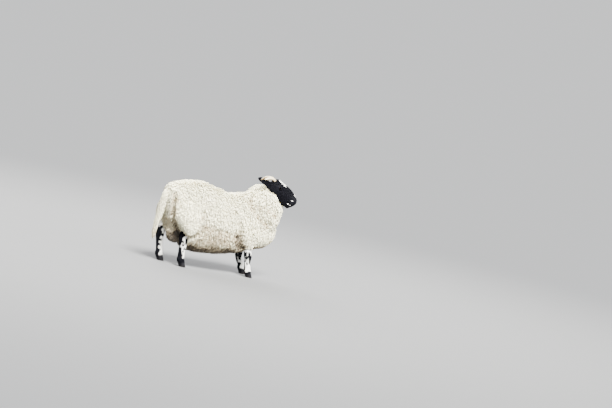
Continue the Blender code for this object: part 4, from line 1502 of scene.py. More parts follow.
@dataclass
class Fleece:
    """Overlapping locks of wool, each a bundle of tapered strands that draw together to a tip."""

    rng: np.random.Generator
    steps: int = 10
    facing_share: float = 0.03  # how much a strand heeds a lock's facing, against its distance

    def tracks(self, surface: Surface, start: Roots, reach: Rows) -> tuple[Rows, Rows]:
        """Paths that creep over the surface along the lie of the wool.

        Each step goes along the lie and is then laid back onto the plane of the nearest point.

        Args:
            surface: What to creep over.
            start: Where the paths start.
            reach: How far each goes.

        Returns:
            Points and normals, as path by step by coordinate.
        """
        here, normal = start.outer.copy(), start.normal.copy()
        points, normals = [here], [normal]
        step = (reach / (self.steps - 1))[:, None]
        for _ in range(self.steps - 1):
            here = here + lie_of_wool(here, normal) * step
            near = nearest(here, surface.outer)
            normal = surface.normal[near]
            off = ((here - surface.outer[near]) * normal).sum(axis=1, keepdims=True)
            here = here - normal * off
            points.append(here)
            normals.append(normal)
        return np.stack(points, axis=1), np.stack(normals, axis=1)

    def character(self, points: Rows, style: WoolStyle) -> tuple[Rows, Rows]:
        """Length of the locks over the body, and how curly they are, from 0 to 1."""
        x, z = points[:, 0], points[:, 2]
        low = eased(0.34, 0.18, z)
        rear = eased(-0.22, -0.36, x) * eased(0.50, 0.34, z)
        curly = np.clip(np.maximum(low, rear) + 0.15 * ripple(points, 0.12, 11), 0, 1)
        length = style.length * (1 - 0.28 * curly + 0.14 * ripple(points, 0.07, 5))
        return length, curly

    def grow(self, surface: Surface, style: WoolStyle, clear: Callable[[Roots], Rows] | None = None) -> Shell:
        """The locks over one surface.

        A lock's middle line grows out from the skin and bends over: at share t of its length it has crept
        t^droop of the way along the surface and lies (1 - t)^bend of the coat's depth under its reach.
        Each strand keeps its own offset from that line, less a pinch that grows towards the tip, and adds
        a helix whose width is its curl.

        Args:
            surface: Where the wool grows.
            style: Spacings, length, width and curl.
            clear: Picks the roots to keep, if some are bare.

        Returns:
            The strands as one shell, with each strand's place to sort by.
        """
        locks = surface.scatter(self.rng, style.lock_spacing)
        roots = surface.scatter(self.rng, style.strand_spacing, style.tries)
        if clear is not None:
            roots = roots.only(clear(roots))
            locks = locks.only(clear(locks))
        length, curly = self.character(locks.outer, style)
        length = length * self.rng.uniform(0.75, 1.25, len(length))
        points, normals = self.tracks(surface, locks, length)
        nape = 1 + 1.6 * bell(locks.outer[:, 0], 0.27, 0.10) * eased(0.56, 0.64, locks.outer[:, 2])
        lift = self.rng.uniform(-0.9, 0.7, len(length)) * style.lift * nape
        owner = nearest(*(np.hstack([r.skin, self.facing_share * r.normal]) for r in (roots, locks)))
        share = np.linspace(0, 1, style.places)[None] * self.rng.uniform(0.78, 1.0, len(owner))[:, None]
        at = share**style.droop * (self.steps - 1)
        low = np.minimum(at.astype(int), self.steps - 2)
        blend = (at - low)[..., None]
        rows = owner[:, None]
        ground = points[rows, low] * (1 - blend) + points[rows, low + 1] * blend
        upward = normals[rows, low] * (1 - blend) + normals[rows, low + 1] * blend
        level = locks.depth[owner, None] * (1 - share) ** style.bend
        level = level + style.under - lift[owner, None] * share**1.5
        u = share[..., None]
        apart = (roots.skin - locks.skin[owner])[:, None]
        path = ground - upward * level[..., None] + apart * (1 - style.pinch * u**1.1)
        tangent = unit(np.gradient(path, axis=1))
        aside = unit(np.cross(roots.normal[:, None], tangent))
        above = np.cross(tangent, aside)
        turns = self.rng.uniform(0.7, 1.5, len(owner))[:, None, None]
        start = self.rng.uniform(0, 2 * math.pi, len(owner))[:, None, None]
        curl = style.curl * (0.55 + 0.9 * curly[owner])[:, None, None] * u**1.2
        phase = start * 0.5 + owner[:, None, None] * 1.7 + 2 * math.pi * turns * u
        path = path + curl * (aside * np.sin(phase) + 0.7 * above * np.cos(phase))
        along = np.linspace(0, 1, style.places)[:-1]
        profile = (0.80 + 0.35 * along) * (1 - along**3.0) ** 0.75
        wide = style.half_width * self.rng.uniform(0.70, 1.30, len(owner))
        # Brown staining and painted shade of the body, carried on each strand.
        stain_and_shade = MARKINGS.stain_and_shade(roots.outer, roots.normal) * style.stain_shade_share
        stain_and_shade *= self.rng.uniform(0.45, 1.45, len(length))[owner] * self.rng.uniform(0.8, 1.2, len(owner))
        mark = beside(np.zeros(len(owner)), np.clip(stain_and_shade, 0, 1), self.rng.random(len(owner)))
        return strand_shell(path, wide[:, None] * profile, style.flatness, roots.normal, mark, roots.unwrap)


def split_shell(shell: Shell, places: int, names: Sequence[str]) -> dict[str, Shell]:
    """Splits a shell of equal strands into pieces of equal count, from the rear to the front.

    Args:
        shell: The strands.
        places: Places along one strand.
        names: Names of the pieces.

    Returns:
        The pieces by name.
    """
    each = strand_points(places)
    pattern = shell.faces[0][: len(shell.faces[0]) // (len(shell.points) // each)]
    order = np.argsort(shell.points[::each, 0], kind="stable")
    found = {}
    for name, chosen in zip(names, np.array_split(order, len(names))):
        rows = (chosen[:, None] * each + np.arange(each)).ravel()
        faces = (pattern[None] + (np.arange(len(chosen)) * each)[:, None, None]).reshape(-1, 3)
        mark, lie, unwrap = shell.mark[rows], shell.lie[rows], shell.unwrap[rows]
        found[name] = Shell(shell.points[rows], [faces], mark, lie, unwrap)
    return found


# --- short hair ---


@dataclass(frozen=True)
class HairStyle:
    """How short hair grows on one surface."""

    spacing: float
    length: float
    half_width: float
    lift: float
    flatness: float = 0.42
    tries: float = 6.0


@dataclass
class ShortHair:
    """Small flat tufts that lie along the skin and break its outline."""

    rng: np.random.Generator

    def grow(
        self,
        surface: Surface,
        style: HairStyle,
        lie: Callable[[Roots], Rows],
        black: Callable[[Roots], Rows],
        shorter: Callable[[Roots], Rows] | None = None,
    ) -> Shell:
        """Tufts over one surface: each starts in the skin, leans along the lie and lifts to the coat's reach.

        Args:
            surface: Where the hair grows.
            style: Spacing, length, width and lift.
            lie: Which way the hair lies at the roots.
            black: How black the hair is at the roots.
            shorter: A share of the length at the roots; tufts under a tenth are left out.

        Returns:
            The tufts as one shell.
        """
        roots = surface.scatter(self.rng, style.spacing, style.tries)
        size = np.ones(len(roots.outer)) if shorter is None else shorter(roots)
        roots, size = roots.only(size > 0.1), size[size > 0.1]
        count = len(size)
        way = flattened(lie(roots) + 0.16 * self.rng.normal(size=(count, 3)), roots.normal)
        long = style.length * size * self.rng.uniform(0.7, 1.25, count)
        t = np.array([0.0, 0.38, 0.74, 1.0])[None, :, None]
        rise = np.array([-0.4, 0.72, 0.98, 0.98])[None, :, None]
        over = (style.lift * size * self.rng.uniform(0.5, 1.3, count))[:, None, None] * t**1.6
        path = (
            roots.skin[:, None]
            + roots.normal[:, None] * (roots.depth[:, None, None] * rise + over)
            + way[:, None] * long[:, None, None] * t
        )
        profile = np.array([0.80, 1.0, 0.62])
        wide = style.half_width * np.sqrt(size) * self.rng.uniform(0.7, 1.3, count)
        mark = beside(black(roots), np.zeros(count), self.rng.random(count))
        return strand_shell(path, wide[:, None] * profile, style.flatness, roots.normal, mark, roots.unwrap)


# --- finishes ---

Colour = tuple[float, float, float]


# Colours of black and of white hair, and of wool: its tips, painted shade at its roots, light stain
# with painted shade, and deep stain with painted shade.
BLACK: Colour = (0.0028, 0.0028, 0.0044)
WHITE: Colour = (0.90, 0.89, 0.86)
WOOL: dict[str, Colour] = {
    "Cream": (0.94, 0.90, 0.66),
    "Shade": (0.84, 0.76, 0.56),
    "StainAndShade": (0.50, 0.41, 0.26),
    "DeepStainAndShade": (0.048, 0.029, 0.010),
}


@dataclass
class Graph:
    """Adds nodes to one node tree and joins them."""

    tree: Tree

    def add(self, kind: str, values: dict | None = None, **settings: object) -> Node:
        """A node with its settings and input values; a value that is a socket is joined."""
        node = self.tree.nodes.new(kind)
        for name, setting in settings.items():
            setattr(node, name, setting)
        self.fill(node, values or {})
        return node

    def fill(self, node: Node, values: dict) -> None:
        """Joins inputs of a node to the sockets given for them, or sets their own values."""
        for key, value in values.items():
            socket = node.inputs[key]
            if isinstance(value, Socket):
                self.tree.links.new(value, socket)
            elif isinstance(value, tuple) and socket.type == "RGBA":
                socket.default_value = (*value, 1.0)
            else:
                socket.default_value = value

    def group(self, tree: Tree, values: dict) -> Sockets:
        """The outputs of a shared node group with these inputs."""
        return self.add("ShaderNodeGroup", values, node_tree=tree).outputs

    def maths(self, operation: str, a: object, b: object = 0.0, clamp: bool = False) -> Socket:
        """The result of one sum."""
        return self.add("ShaderNodeMath", {0: a, 1: b}, operation=operation, use_clamp=clamp).outputs[0]

    def mix(self, share: object, low: object, high: object, blend: str = "MIX") -> Socket:
        """A colour between two, by a share."""
        values = {0: share, 6: low, 7: high}
        return self.add("ShaderNodeMix", values, data_type="RGBA", blend_type=blend).outputs[2]

    def lit(self, colour: Socket, light: Socket) -> Socket:
        """A colour made lighter or darker by a value."""
        level = self.add("ShaderNodeCombineColor", {0: light, 1: light, 2: light}).outputs[0]
        return self.mix(1.0, colour, level, "MULTIPLY")

    def spread(self, value: Socket, low: float, high: float, first: float = 0.0, last: float = 1.0) -> Socket:
        """A value carried smoothly from one span to another."""
        values = {0: value, 1: low, 2: high, 3: first, 4: last}
        return self.add("ShaderNodeMapRange", values, interpolation_type="SMOOTHSTEP").outputs[0]

    def noise(self, vector: Socket, scale: object, detail: float = 2.0, rough: float = 0.5) -> Socket:
        """A soft noise over a vector."""
        values = {"Vector": vector, "Scale": scale, "Detail": detail, "Roughness": rough}
        return self.add("ShaderNodeTexNoise", values).outputs[0]

    def stretched(self, vector: Socket, scale: tuple[float, float, float]) -> Socket:
        """A vector scaled along each axis."""
        values = {"Vector": vector, "Scale": scale}
        return self.add("ShaderNodeMapping", values, vector_type="POINT").outputs[0]

    def vector(self, operation: str, vector: Socket) -> Sockets:
        """The outputs of one sum on a vector."""
        return self.add("ShaderNodeVectorMath", {0: vector}, operation=operation).outputs

    def attribute(self, name: str) -> Sockets:
        """The outputs of a mesh attribute."""
        return self.add("ShaderNodeAttribute", attribute_name=name).outputs

    def place(self) -> Socket:
        """The point's place in the object's own axes."""
        return self.add("ShaderNodeTexCoord").outputs["Object"]


def new_group(name: str, inputs: dict[str, object], outputs: dict[str, str]) -> tuple:
    """An empty node group with named sockets.

    Args:
        name: The group's name.
        inputs: Default of each input: a number, a colour, or none for a vector.
        outputs: Kind of each output.

    Returns:
        The group, its graph, its input sockets, and the node that takes its outputs.
    """
    group = bpy.data.node_groups.new(name, "ShaderNodeTree")
    for label, default in inputs.items():
        kind = "Vector" if default is None else "Color" if isinstance(default, tuple) else "Float"
        socket = group.interface.new_socket(label, in_out="INPUT", socket_type=f"NodeSocket{kind}")
        if default is not None:
            socket.default_value = (*default, 1) if kind == "Color" else default
    for label, kind in outputs.items():
        group.interface.new_socket(label, in_out="OUTPUT", socket_type=f"NodeSocket{kind}")
    graph = Graph(group)
    return group, graph, graph.add("NodeGroupInput").outputs, graph.add("NodeGroupOutput")


def streaks_group() -> Tree:
    """Fine lines along the lie of hair or fibre, as a value and as a normal."""
    inputs = {"Lie": None, "Fineness": 900.0, "Depth": 0.4}
    group, g, given, out = new_group("streaks", inputs, {"Value": "Float", "Normal": "Vector"})
    drawn = g.stretched(given["Lie"], (0.09, 1.0, 1.0))
    fine = g.noise(drawn, given["Fineness"], 3.0, 0.6)
    broad = g.noise(drawn, g.maths("MULTIPLY", given["Fineness"], 0.27), 2.0, 0.5)
    value = g.maths("ADD", g.maths("MULTIPLY", fine, 0.6), g.maths("MULTIPLY", broad, 0.4))
    bump = g.add("ShaderNodeBump", {"Height": value, "Strength": given["Depth"], "Distance": 0.0012})
    g.fill(out, {"Value": value, "Normal": bump.outputs[0]})
    return group


def pied_group() -> Tree:
    """Black and white hair from a mark, broken at its edges and mottled where the mark is near a half."""
    inputs = {"Mark": 0.0, "Place": None, "Streak": 0.5, "Black": BLACK, "White": WHITE}
    group, g, given, out = new_group("pied", inputs, {"Colour": "Color", "Dark": "Float"})
    blotch = g.noise(given["Place"], 62.0, 2.5, 0.55)
    fleck = g.noise(given["Place"], 260.0, 1.0, 0.5)
    broken = g.maths("ADD", g.maths("MULTIPLY", blotch, 0.80), g.maths("MULTIPLY", fleck, 0.30))
    dark = g.spread(g.maths("ADD", given["Mark"], broken), 1.00, 1.08)
    white = g.mix(g.spread(given["Streak"], 0.30, 0.62, 0.22, 0.0), given["White"], (0.55, 0.51, 0.46))
    black = g.mix(g.spread(given["Streak"], 0.42, 0.72), given["Black"], (0.0055, 0.0055, 0.0085))
    g.fill(out, {"Colour": g.mix(dark, white, black), "Dark": dark})
    return group


def wool_group() -> Tree:
    """The tone of wool from painted shade at the root to cream at the tip, with brown staining and painted
    shade, and soft patches.
    """
    inputs = {"Along": 1.0, "StainShadeLevel": 0.0, "Random": 0.5, "Place": None, **WOOL}
    group, g, given, out = new_group("wool tone", inputs, {"Colour": "Color"})
    # Painted shade at the root, turning to cream towards the tip.
    tone = g.mix(g.spread(given["Along"], 0.05, 0.72), given["Shade"], given["Cream"])
    patch = g.noise(given["Place"], 7.0, 3.0, 0.6)
    tone = g.mix(g.spread(patch, 0.45, 0.75, 0.0, 0.22), tone, (0.76, 0.70, 0.58))
    # Brown staining and painted shade from the mark.
    stain_shade_level = g.maths("MULTIPLY", given["StainShadeLevel"], g.spread(patch, 0.25, 0.65, 0.70, 1.20), clamp=True)
    tone = g.mix(g.spread(stain_shade_level, 0.0, 0.5), tone, given["StainAndShade"])
    tone = g.mix(g.spread(stain_shade_level, 0.5, 1.0), tone, given["DeepStainAndShade"])
    g.fill(out, {"Colour": g.lit(tone, g.spread(given["Random"], 0.0, 1.0, 0.93, 1.05))})
    return group


@dataclass
class Groups:
    """The node groups that several finishes share."""

    streaks: Tree = field(default_factory=streaks_group)
    pied: Tree = field(default_factory=pied_group)
    wool: Tree = field(default_factory=wool_group)


def shader_of(name: str) -> tuple[Material, Graph, Node]:
    """A new material, its graph, and its Principled shader."""
    material = bpy.data.materials.new(name)
    material.use_nodes = True
    return material, Graph(material.node_tree), material.node_tree.nodes["Principled BSDF"]


@dataclass(frozen=True)
class StreakedFinish:
    """What hair, wool and horn share: the piece's marks, and fine lines along its lie."""

    name: str
    fineness: float
    depth: float

    def begin(self, groups: Groups) -> tuple[Material, Graph, Node, list[Socket], Socket]:
        """A new material, its graph, its shader, the four marks, and the value of the lines."""
        material, g, shader = shader_of(self.name)
        mark, lie = g.attribute("mark"), g.attribute("lie")["Vector"]
        parts = g.add("ShaderNodeSeparateColor", {0: mark["Color"]}).outputs
        lines = g.group(groups.streaks, {"Lie": lie, "Fineness": self.fineness, "Depth": self.depth})
        g.fill(shader, {"Normal": lines["Normal"]})
        return material, g, shader, [*parts, mark["Alpha"]], lines["Value"]


@dataclass(frozen=True)
class WoolFinish(StreakedFinish):
    """Cream wool with painted shade at the root, brown staining and painted shade where the mark says."""

    name: str = "fleece wool"
    fineness: float = 900.0
    depth: float = 0.6
    roughness: float = 0.92

    def build(self, groups: Groups) -> Material:
        """The material."""
        material, g, shader, (_, stain_shade_level, along, chance), lines = self.begin(groups)
        given = {"Along": along, "StainShadeLevel": stain_shade_level, "Random": chance, "Place": g.place()}
        tone = g.group(groups.wool, given)["Colour"]
        look = {
            "Base Color": g.lit(tone, g.spread(lines, 0.36, 0.60, 0.74, 1.06)),
            "Roughness": self.roughness,
            "Specular IOR Level": 0.18,
            "Sheen Weight": 0.25,
            "Sheen Roughness": 0.6,
        }
        g.fill(shader, look)
        return material


@dataclass(frozen=True)
class HairFinish(StreakedFinish):
    """Short black and white hair, glossier where it is black, with a faint bluish sheen."""

    fineness: float = 1500.0
    depth: float = 0.5
    skin: bool = False

    def build(self, groups: Groups) -> Material:
        """The material. On the skin it turns to wool with painted shade by the mark's fourth number."""
        material, g, shader, (black, stain_shade_level, _, fourth), lines = self.begin(groups)
        place = g.place()
        pied = g.group(groups.pied, {"Mark": black, "Place": place, "Streak": lines})
        rough = g.spread(pied["Dark"], 0.0, 1.0, 0.80, 0.60)
        if self.skin:
            # Under the fleece the skin takes the wool's tone part way to the root: painted shade deep in the
            # coat.
            wool = g.group(groups.wool, {"Along": 0.40, "StainShadeLevel": stain_shade_level, "Place": place})
            colour = g.mix(fourth, pied["Colour"], wool["Colour"])
            rough = g.maths("MAXIMUM", rough, g.maths("MULTIPLY", fourth, 0.95))
        else:
            colour = g.lit(pied["Colour"], g.spread(fourth, 0.0, 1.0, 0.80, 1.18))
        look = {
            "Base Color": colour,
            "Roughness": rough,
            "Specular IOR Level": 0.05,
            "Sheen Weight": 0.004,
            "Sheen Roughness": 0.4,
            "Sheen Tint": (0.70, 0.80, 1.0),
        }
        g.fill(shader, look)
        return material


@dataclass(frozen=True)
class HornFinish(StreakedFinish):
    """Ringed horn: cream at the crests, brown in the grooves and at the root, and painted shade in brown on
    the inner, downward side.
    """

    name: str = "horn"
    fineness: float = 700.0
    depth: float = 0.25
    cream: Colour = (0.66, 0.59, 0.40)
    brown: Colour = (0.165, 0.086, 0.026)

    def build(self, groups: Groups) -> Material:
        """The material."""
        material, g, shader, (inner, swell, along, _), lines = self.begin(groups)
        # The first mark is painted shade on the inner, downward side.
        inner = g.maths("MULTIPLY", inner, 0.85)
        groove = g.spread(swell, 0.60, 0.05, 0.0, 0.60)
        cloud = g.noise(g.place(), 55.0, 3.0, 0.6)
        base = g.spread(along, 0.30, 0.12, 0.0, 0.35)
        brown = g.maths("ADD", g.maths("ADD", inner, groove), base)
        brown = g.maths("MULTIPLY", brown, g.spread(cloud, 0.25, 0.75, 0.55, 1.2), clamp=True)
        tone = g.lit(g.mix(brown, self.cream, self.brown), g.spread(lines, 0.3, 0.7, 0.84, 1.08))
        g.fill(shader, {"Base Color": tone, "Roughness": g.spread(cloud, 0.3, 0.7, 0.38, 0.58)})
        return material


@dataclass(frozen=True)
class ClawFinish(StreakedFinish):
    """Dark horn of the claws, dusty towards the sole, with fine rings."""

    name: str = "claw horn"
    fineness: float = 900.0
    depth: float = 0.35
    dark: Colour = (0.0032, 0.0032, 0.0048)
    dust: Colour = (0.014, 0.011, 0.008)

    def build(self, groups: Groups) -> Material:
        """The material."""
        material, g, shader, (_, _, height, _), _ = self.begin(groups)
        cloud = g.noise(g.place(), 90.0, 4.0, 0.65)
        low = g.spread(height, 0.55, 0.0, 0.10, 0.75)
        dust = g.maths("MULTIPLY", low, g.spread(cloud, 0.35, 0.65), clamp=True)
        look = {
            "Base Color": g.mix(dust, self.dark, self.dust),
            "Roughness": g.spread(dust, 0.0, 1.0, 0.50, 0.85),
            "Specular IOR Level": 0.12,
        }
        g.fill(shader, look)
        return material


@dataclass(frozen=True)
class EyeFinish:
    """A dark brown iris with amber rays and a level black slot, in a dusky white."""

    iris: Colour = (0.0050, 0.0024, 0.0012)
    amber: Colour = (0.018, 0.0085, 0.0034)
    edge: Colour = (0.012, 0.008, 0.006)
    white: Colour = (0.014, 0.010, 0.008)
    pupil: Colour = (0.0006, 0.0006, 0.0009)

    def build(self) -> Material:
        """The material. It reads the ball's own axes: level, upwards and out."""
        material, g, shader = shader_of("eye")
        lie = g.attribute("lie")["Vector"]
        level, high, out = g.add("ShaderNodeSeparateXYZ", {0: lie}).outputs
        flat = g.stretched(lie, (1.0, 1.0, 0.0))
        off = g.vector("LENGTH", flat)["Value"]
        rays = g.noise(g.vector("NORMALIZE", flat)[0], 16.0, 3.0)
        amber = g.maths("MULTIPLY", g.spread(rays, 0.42, 0.66), g.spread(off, 0.0014, 0.0050))
        tone = g.mix(amber, self.iris, self.amber)
        tone = g.mix(g.spread(off, 0.0070, 0.0086), tone, self.edge)
        tone = g.mix(g.spread(off, 0.0088, 0.0100), tone, self.white)
        long = g.spread(g.maths("ABSOLUTE", level), 0.0054, 0.0049)
        slot = g.maths("MULTIPLY", long, g.spread(g.maths("ABSOLUTE", high), 0.0023, 0.0018))
        tone = g.mix(g.maths("MULTIPLY", slot, g.spread(out, 0.0, 0.004)), tone, self.pupil)
        vein = g.noise(lie, 900.0, 4.0, 0.7)
        height = g.maths("ADD", rays, g.maths("MULTIPLY", vein, 0.2))
        bump = g.add("ShaderNodeBump", {"Height": height, "Strength": 0.15, "Distance": 0.0004})
        look = {
            "Base Color": tone,
            "Normal": bump.outputs[0],
            "Roughness": 0.30,
            "Specular IOR Level": 0.1,
        }
        g.fill(shader, look)
        return material


@dataclass(frozen=True)
class CorneaFinish:
    """Clear wet film over the eye."""

    density: float = 1.16

    def build(self) -> Material:
        """The material."""
        material, g, shader = shader_of("cornea")
        wet = g.noise(g.place(), 240.0, 2.0, 0.5)
        look = {
            "Base Color": (1, 1, 1),
            "Roughness": g.spread(wet, 0.2, 0.8, 0.0, 0.05),
            "IOR": self.density,
            "Transmission Weight": 1.0,
        }
        g.fill(shader, look)
        return material


# --- the figure ---


@dataclass
class Ewe:
    """The whole figure, built piece by piece."""

    groups: Groups
    seed: int = 20417
    under_share: float = 0.58  # depth of the underwool, as a share of the coat's
    lengths: tuple[str, ...] = ("rump", "thigh", "loin", "barrel", "shoulder", "neck")
    body: Body = field(default_factory=Body)
    head: Head = field(default_factory=Head)

    def __post_init__(self) -> None:
        """Works out the surfaces that skin and coat share."""
        self.surfaces = {s.name: s for s in (self.body.form(), self.body.tail(), self.head.form())}
        self.shanks = {}
        for side in SIDES:
            self.surfaces[f"ear_{side}"] = self.head.ear(side)
            for name in ("hind_shank", "fore_shank"):
                shank = Shank(name, side)
                self.shanks[f"{name}_{side}"] = shank
                self.surfaces[f"{name}_{side}"] = shank.form()
        log.info("surfaces worked out: %s", ", ".join(self.surfaces))

    def black(self, name: str, points: Rows, local: Rows) -> Rows:
        """How black the hair is at points of one surface."""
        if name == "head":
            return MARKINGS.face(local)
        if name in self.shanks:
            return MARKINGS.leg(name, points, self.shanks[name].centres(points))
        return np.ones(len(points)) if name.startswith("ear") else np.zeros(len(points))

    def skin(self) -> Object:
        """The one skin, inside every flesh solid by the coat's depth."""
        shells = []
        for name, surface in self.surfaces.items():
            woolly = surface.cover is Cover.WOOL
            mark = np.zeros((len(surface.outer), 4))
            mark[:, 0] = self.black(name, surface.outer, surface.local)
            # The wool's brown staining and painted shade, on the skin under the fleece.
            mark[:, 1] = MARKINGS.stain_and_shade(surface.outer, surface.normal) if woolly else 0.0
            mark[:, 3] = 1.0 if woolly else 0.0
            shells.append(Shell(surface.skin, surface.faces, mark, surface.local))
        shells += self.head.lids()
        finish = HairFinish("skin", fineness=1300.0, skin=True)
        obj = mesh_object("skin", joined(shells), finish.build(self.groups))
        flesh = ["trunk", "neck", "tail", "head"]
        for side in SIDES:
            flesh += [f"{n}_{side}" for n in ("thigh", "forearm", "hind_shank", "fore_shank", "ear")]
        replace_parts(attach(obj, "root"), *flesh)
        return obj

    def bare_of_wool(self, roots: Roots) -> Rows:
        """Wool roots to keep: those that lie outside the head's own hair."""
        local = into_head(roots.skin)
        reach = self.head.tube().locate(local)[2]
        inside = (local[:, 0] > -0.02) & (local[:, 0] < 0.26)
        return ~(inside & (reach < 0.94))

    def cheek_wool(self, local: Rows) -> Rows:
        """Share of wool cover on the head: the lower cheek and the back of the jaw."""
        x, z = local[:, 0], local[:, 2]
        along = (-0.040, -0.003, 0.041, 0.086, 0.104, 0.122, 0.138)
        edge = np.interp(x, along, (-0.034, -0.056, -0.063, -0.048, -0.058, -0.076, -0.104))
        return eased(-0.004, 0.006, edge - z)

    def fleece(self) -> list[Object]:
        """The fleece: body, tail and cheeks, split into pieces from rump to neck."""
        wool = Fleece(np.random.default_rng(self.seed))
        coat = WoolStyle(0.0145, 0.0071, 0.042, 0.0028, 0.0040, places=5)
        under = WoolStyle(0.0130, 0.0122, 0.040, 0.0060, 0.0020, places=4, pinch=0.15, lift=0.001)
        tail = WoolStyle(0.0120, 0.0068, 0.034, 0.0026, 0.0034, lift=0.003, stain_shade_share=0.25)
        cheek = WoolStyle(0.0085, 0.0046, 0.018, 0.0018, 0.0022, lift=0.002)
        face, body = self.surfaces["head"], self.surfaces["body"]
        raised = face.outer + face.normal * 0.004
        deep = replace(face, cover=Cover.WOOL, outer=raised, depth=face.depth + 0.005)
        inner = body.outer - body.normal * (1 - self.under_share) * body.depth[:, None]
        close = replace(body, outer=inner, depth=self.under_share * body.depth)
        long = wool.grow(body, coat, self.bare_of_wool)
        small = {
            "fleece_tail": wool.grow(self.surfaces["tail"], tail),
            "fleece_cheek": wool.grow(deep, cheek, lambda r: self.cheek_wool(r.local) > 0.5),
        }
        short = wool.grow(close, under, self.bare_of_wool)
        finish = WoolFinish().build(self.groups)
        shells = {
            **split_shell(long, coat.places, [f"fleece_{name}" for name in self.lengths]),
            **small,
            **split_shell(short, under.places, ["underwool_rear", "underwool_front"]),
        }
        made = [mesh_object(name, shell, finish) for name, shell in shells.items()]
        for obj in made:
            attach(obj, "root")
        return made

    def face_lie(self, roots: Roots) -> Rows:
        """Hair of the face lies back from the nose and down over the cheeks, and parts round the eye."""
        local = roots.local
        a, b = eye_plane(local[:, 0], local[:, 2])
        near = eased(0.040, 0.014, np.hypot(a, b))[:, None]
        back = np.tile([-1.0, 0.0, -0.30], (len(local), 1))
        back[:, 1] = 0.12 * np.sign(local[:, 1])
        around = beside(a * 0.4 - 0.012, np.zeros_like(a), b) / 0.012
        return (back * (1 - near) + around * near) @ HEAD_TURN.T

    def face_length(self, roots: Roots) -> Rows:
        """Share of full length: short on the muzzle and by the eye, none in eye, nostril or wool."""
        local = roots.local
        length = 1 - 0.55 * eased(0.15, 0.24, local[:, 0])
        ring = eye_ring(local[:, 0], local[:, 2])
        beside = np.abs(local[:, 1]) > 0.03
        length = np.where(beside, length * eased(1.12, 2.2, ring), length)
        off = (to_left(local) - np.array(self.head.nostril)) / np.array([0.016, 0.010, 0.011])
        nose = np.linalg.norm(off, axis=1)
        length = length * eased(0.75, 1.1, nose) * (1 - 0.8 * eased(0.246, 0.256, local[:, 0]))
        return length * (1 - 0.9 * self.cheek_wool(local))

    def hair(self) -> list[Object]:
        """Short hair of face, ears and lower legs."""
        tufts = ShortHair(np.random.default_rng(self.seed + 1))
        black = HairFinish("black hair").build(self.groups)
        face = tufts.grow(
            self.surfaces["head"],
            HairStyle(0.0031, 0.0098, 0.00068, 0.0005),
            self.face_lie,
            lambda r: MARKINGS.face(r.local),
            self.face_length,
        )
        made = [mesh_object("face_hair", face, black)]
        for side in SIDES:
            shell = tufts.grow(
                self.surfaces[f"ear_{side}"],
                HairStyle(0.0030, 0.0095, 0.00066, 0.0006),
                lambda r, out=self.head.ear_way(side): np.broadcast_to(out, r.outer.shape),
                lambda r: np.ones(len(r.outer)),
                lambda r: 1 - 0.5 * eased(0.07, 0.11, r.local[:, 0]),
            )
            made.append(mesh_object(f"ear_hair_{side}", shell, black))
        for obj in made:
            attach(obj, "root")
        pied = HairFinish("pied hair").build(self.groups)
        for name in self.shanks:
            shell = tufts.grow(
                self.surfaces[name],
                HairStyle(0.0037, 0.0115, 0.00090, 0.0007),
                lambda r: np.tile([-0.05, 0.0, -1.0], (len(r.outer), 1)),
                lambda r, n=name: self.black(n, r.outer, r.local),
                lambda r: eased(0.285, 0.262, r.outer[:, 2]),
            )
            made.append(mesh_object(name.replace("shank", "leg_hair"), shell, pied))
            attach(made[-1], "root")
        return made

    def hard_parts(self) -> list[Object]:
        """Horns, eyes and claws, each in place of its solid."""
        made = []
        horn, claw = HornFinish().build(self.groups), ClawFinish().build(self.groups)
        ball, clear = EyeFinish().build(), CorneaFinish().build()
        for side in SIDES:
            made.append(mesh_object(f"horn_{side}_ringed", Horn(side).shell(), horn))
            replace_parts(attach(made[-1], "root"), f"horn_{side}")
            eye = Eye(side)
            made.append(mesh_object(f"eyeball_{side}", eye.ball(), ball))
            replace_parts(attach(made[-1], "root"), f"eye_{side}")
            made.append(mesh_object(f"cornea_{side}", eye.cornea(), clear))
            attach(made[-1], "root")
            for end in ("hind", "fore"):
                for place in ("outer", "inner"):
                    part = Claw(end, side, place)
                    made.append(mesh_object(f"{part.name}_horn", part.shell(), claw))
                    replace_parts(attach(made[-1], "root"), part.name)
        return made


# --- studio ---


@dataclass(frozen=True)
class Lamp:
    """A wide, even light, the same all over the floor, that comes from the direction of a place."""

    name: str
    place: tuple[float, float, float]
    width: float  # how wide it looks, in degrees
    power: float
    tone: Colour


LAMPS = (
    Lamp("key", (-0.4, -3.0, 3.8), 26.0, 33.0, (1.0, 0.985, 0.93)),
    Lamp("fill", (3.0, -2.6, 1.6), 70.0, 4.0, (0.98, 0.985, 1.0)),
    Lamp("rim", (-0.5, 4.0, 3.0), 60.0, 8.0, (0.99, 0.985, 0.98)),
)


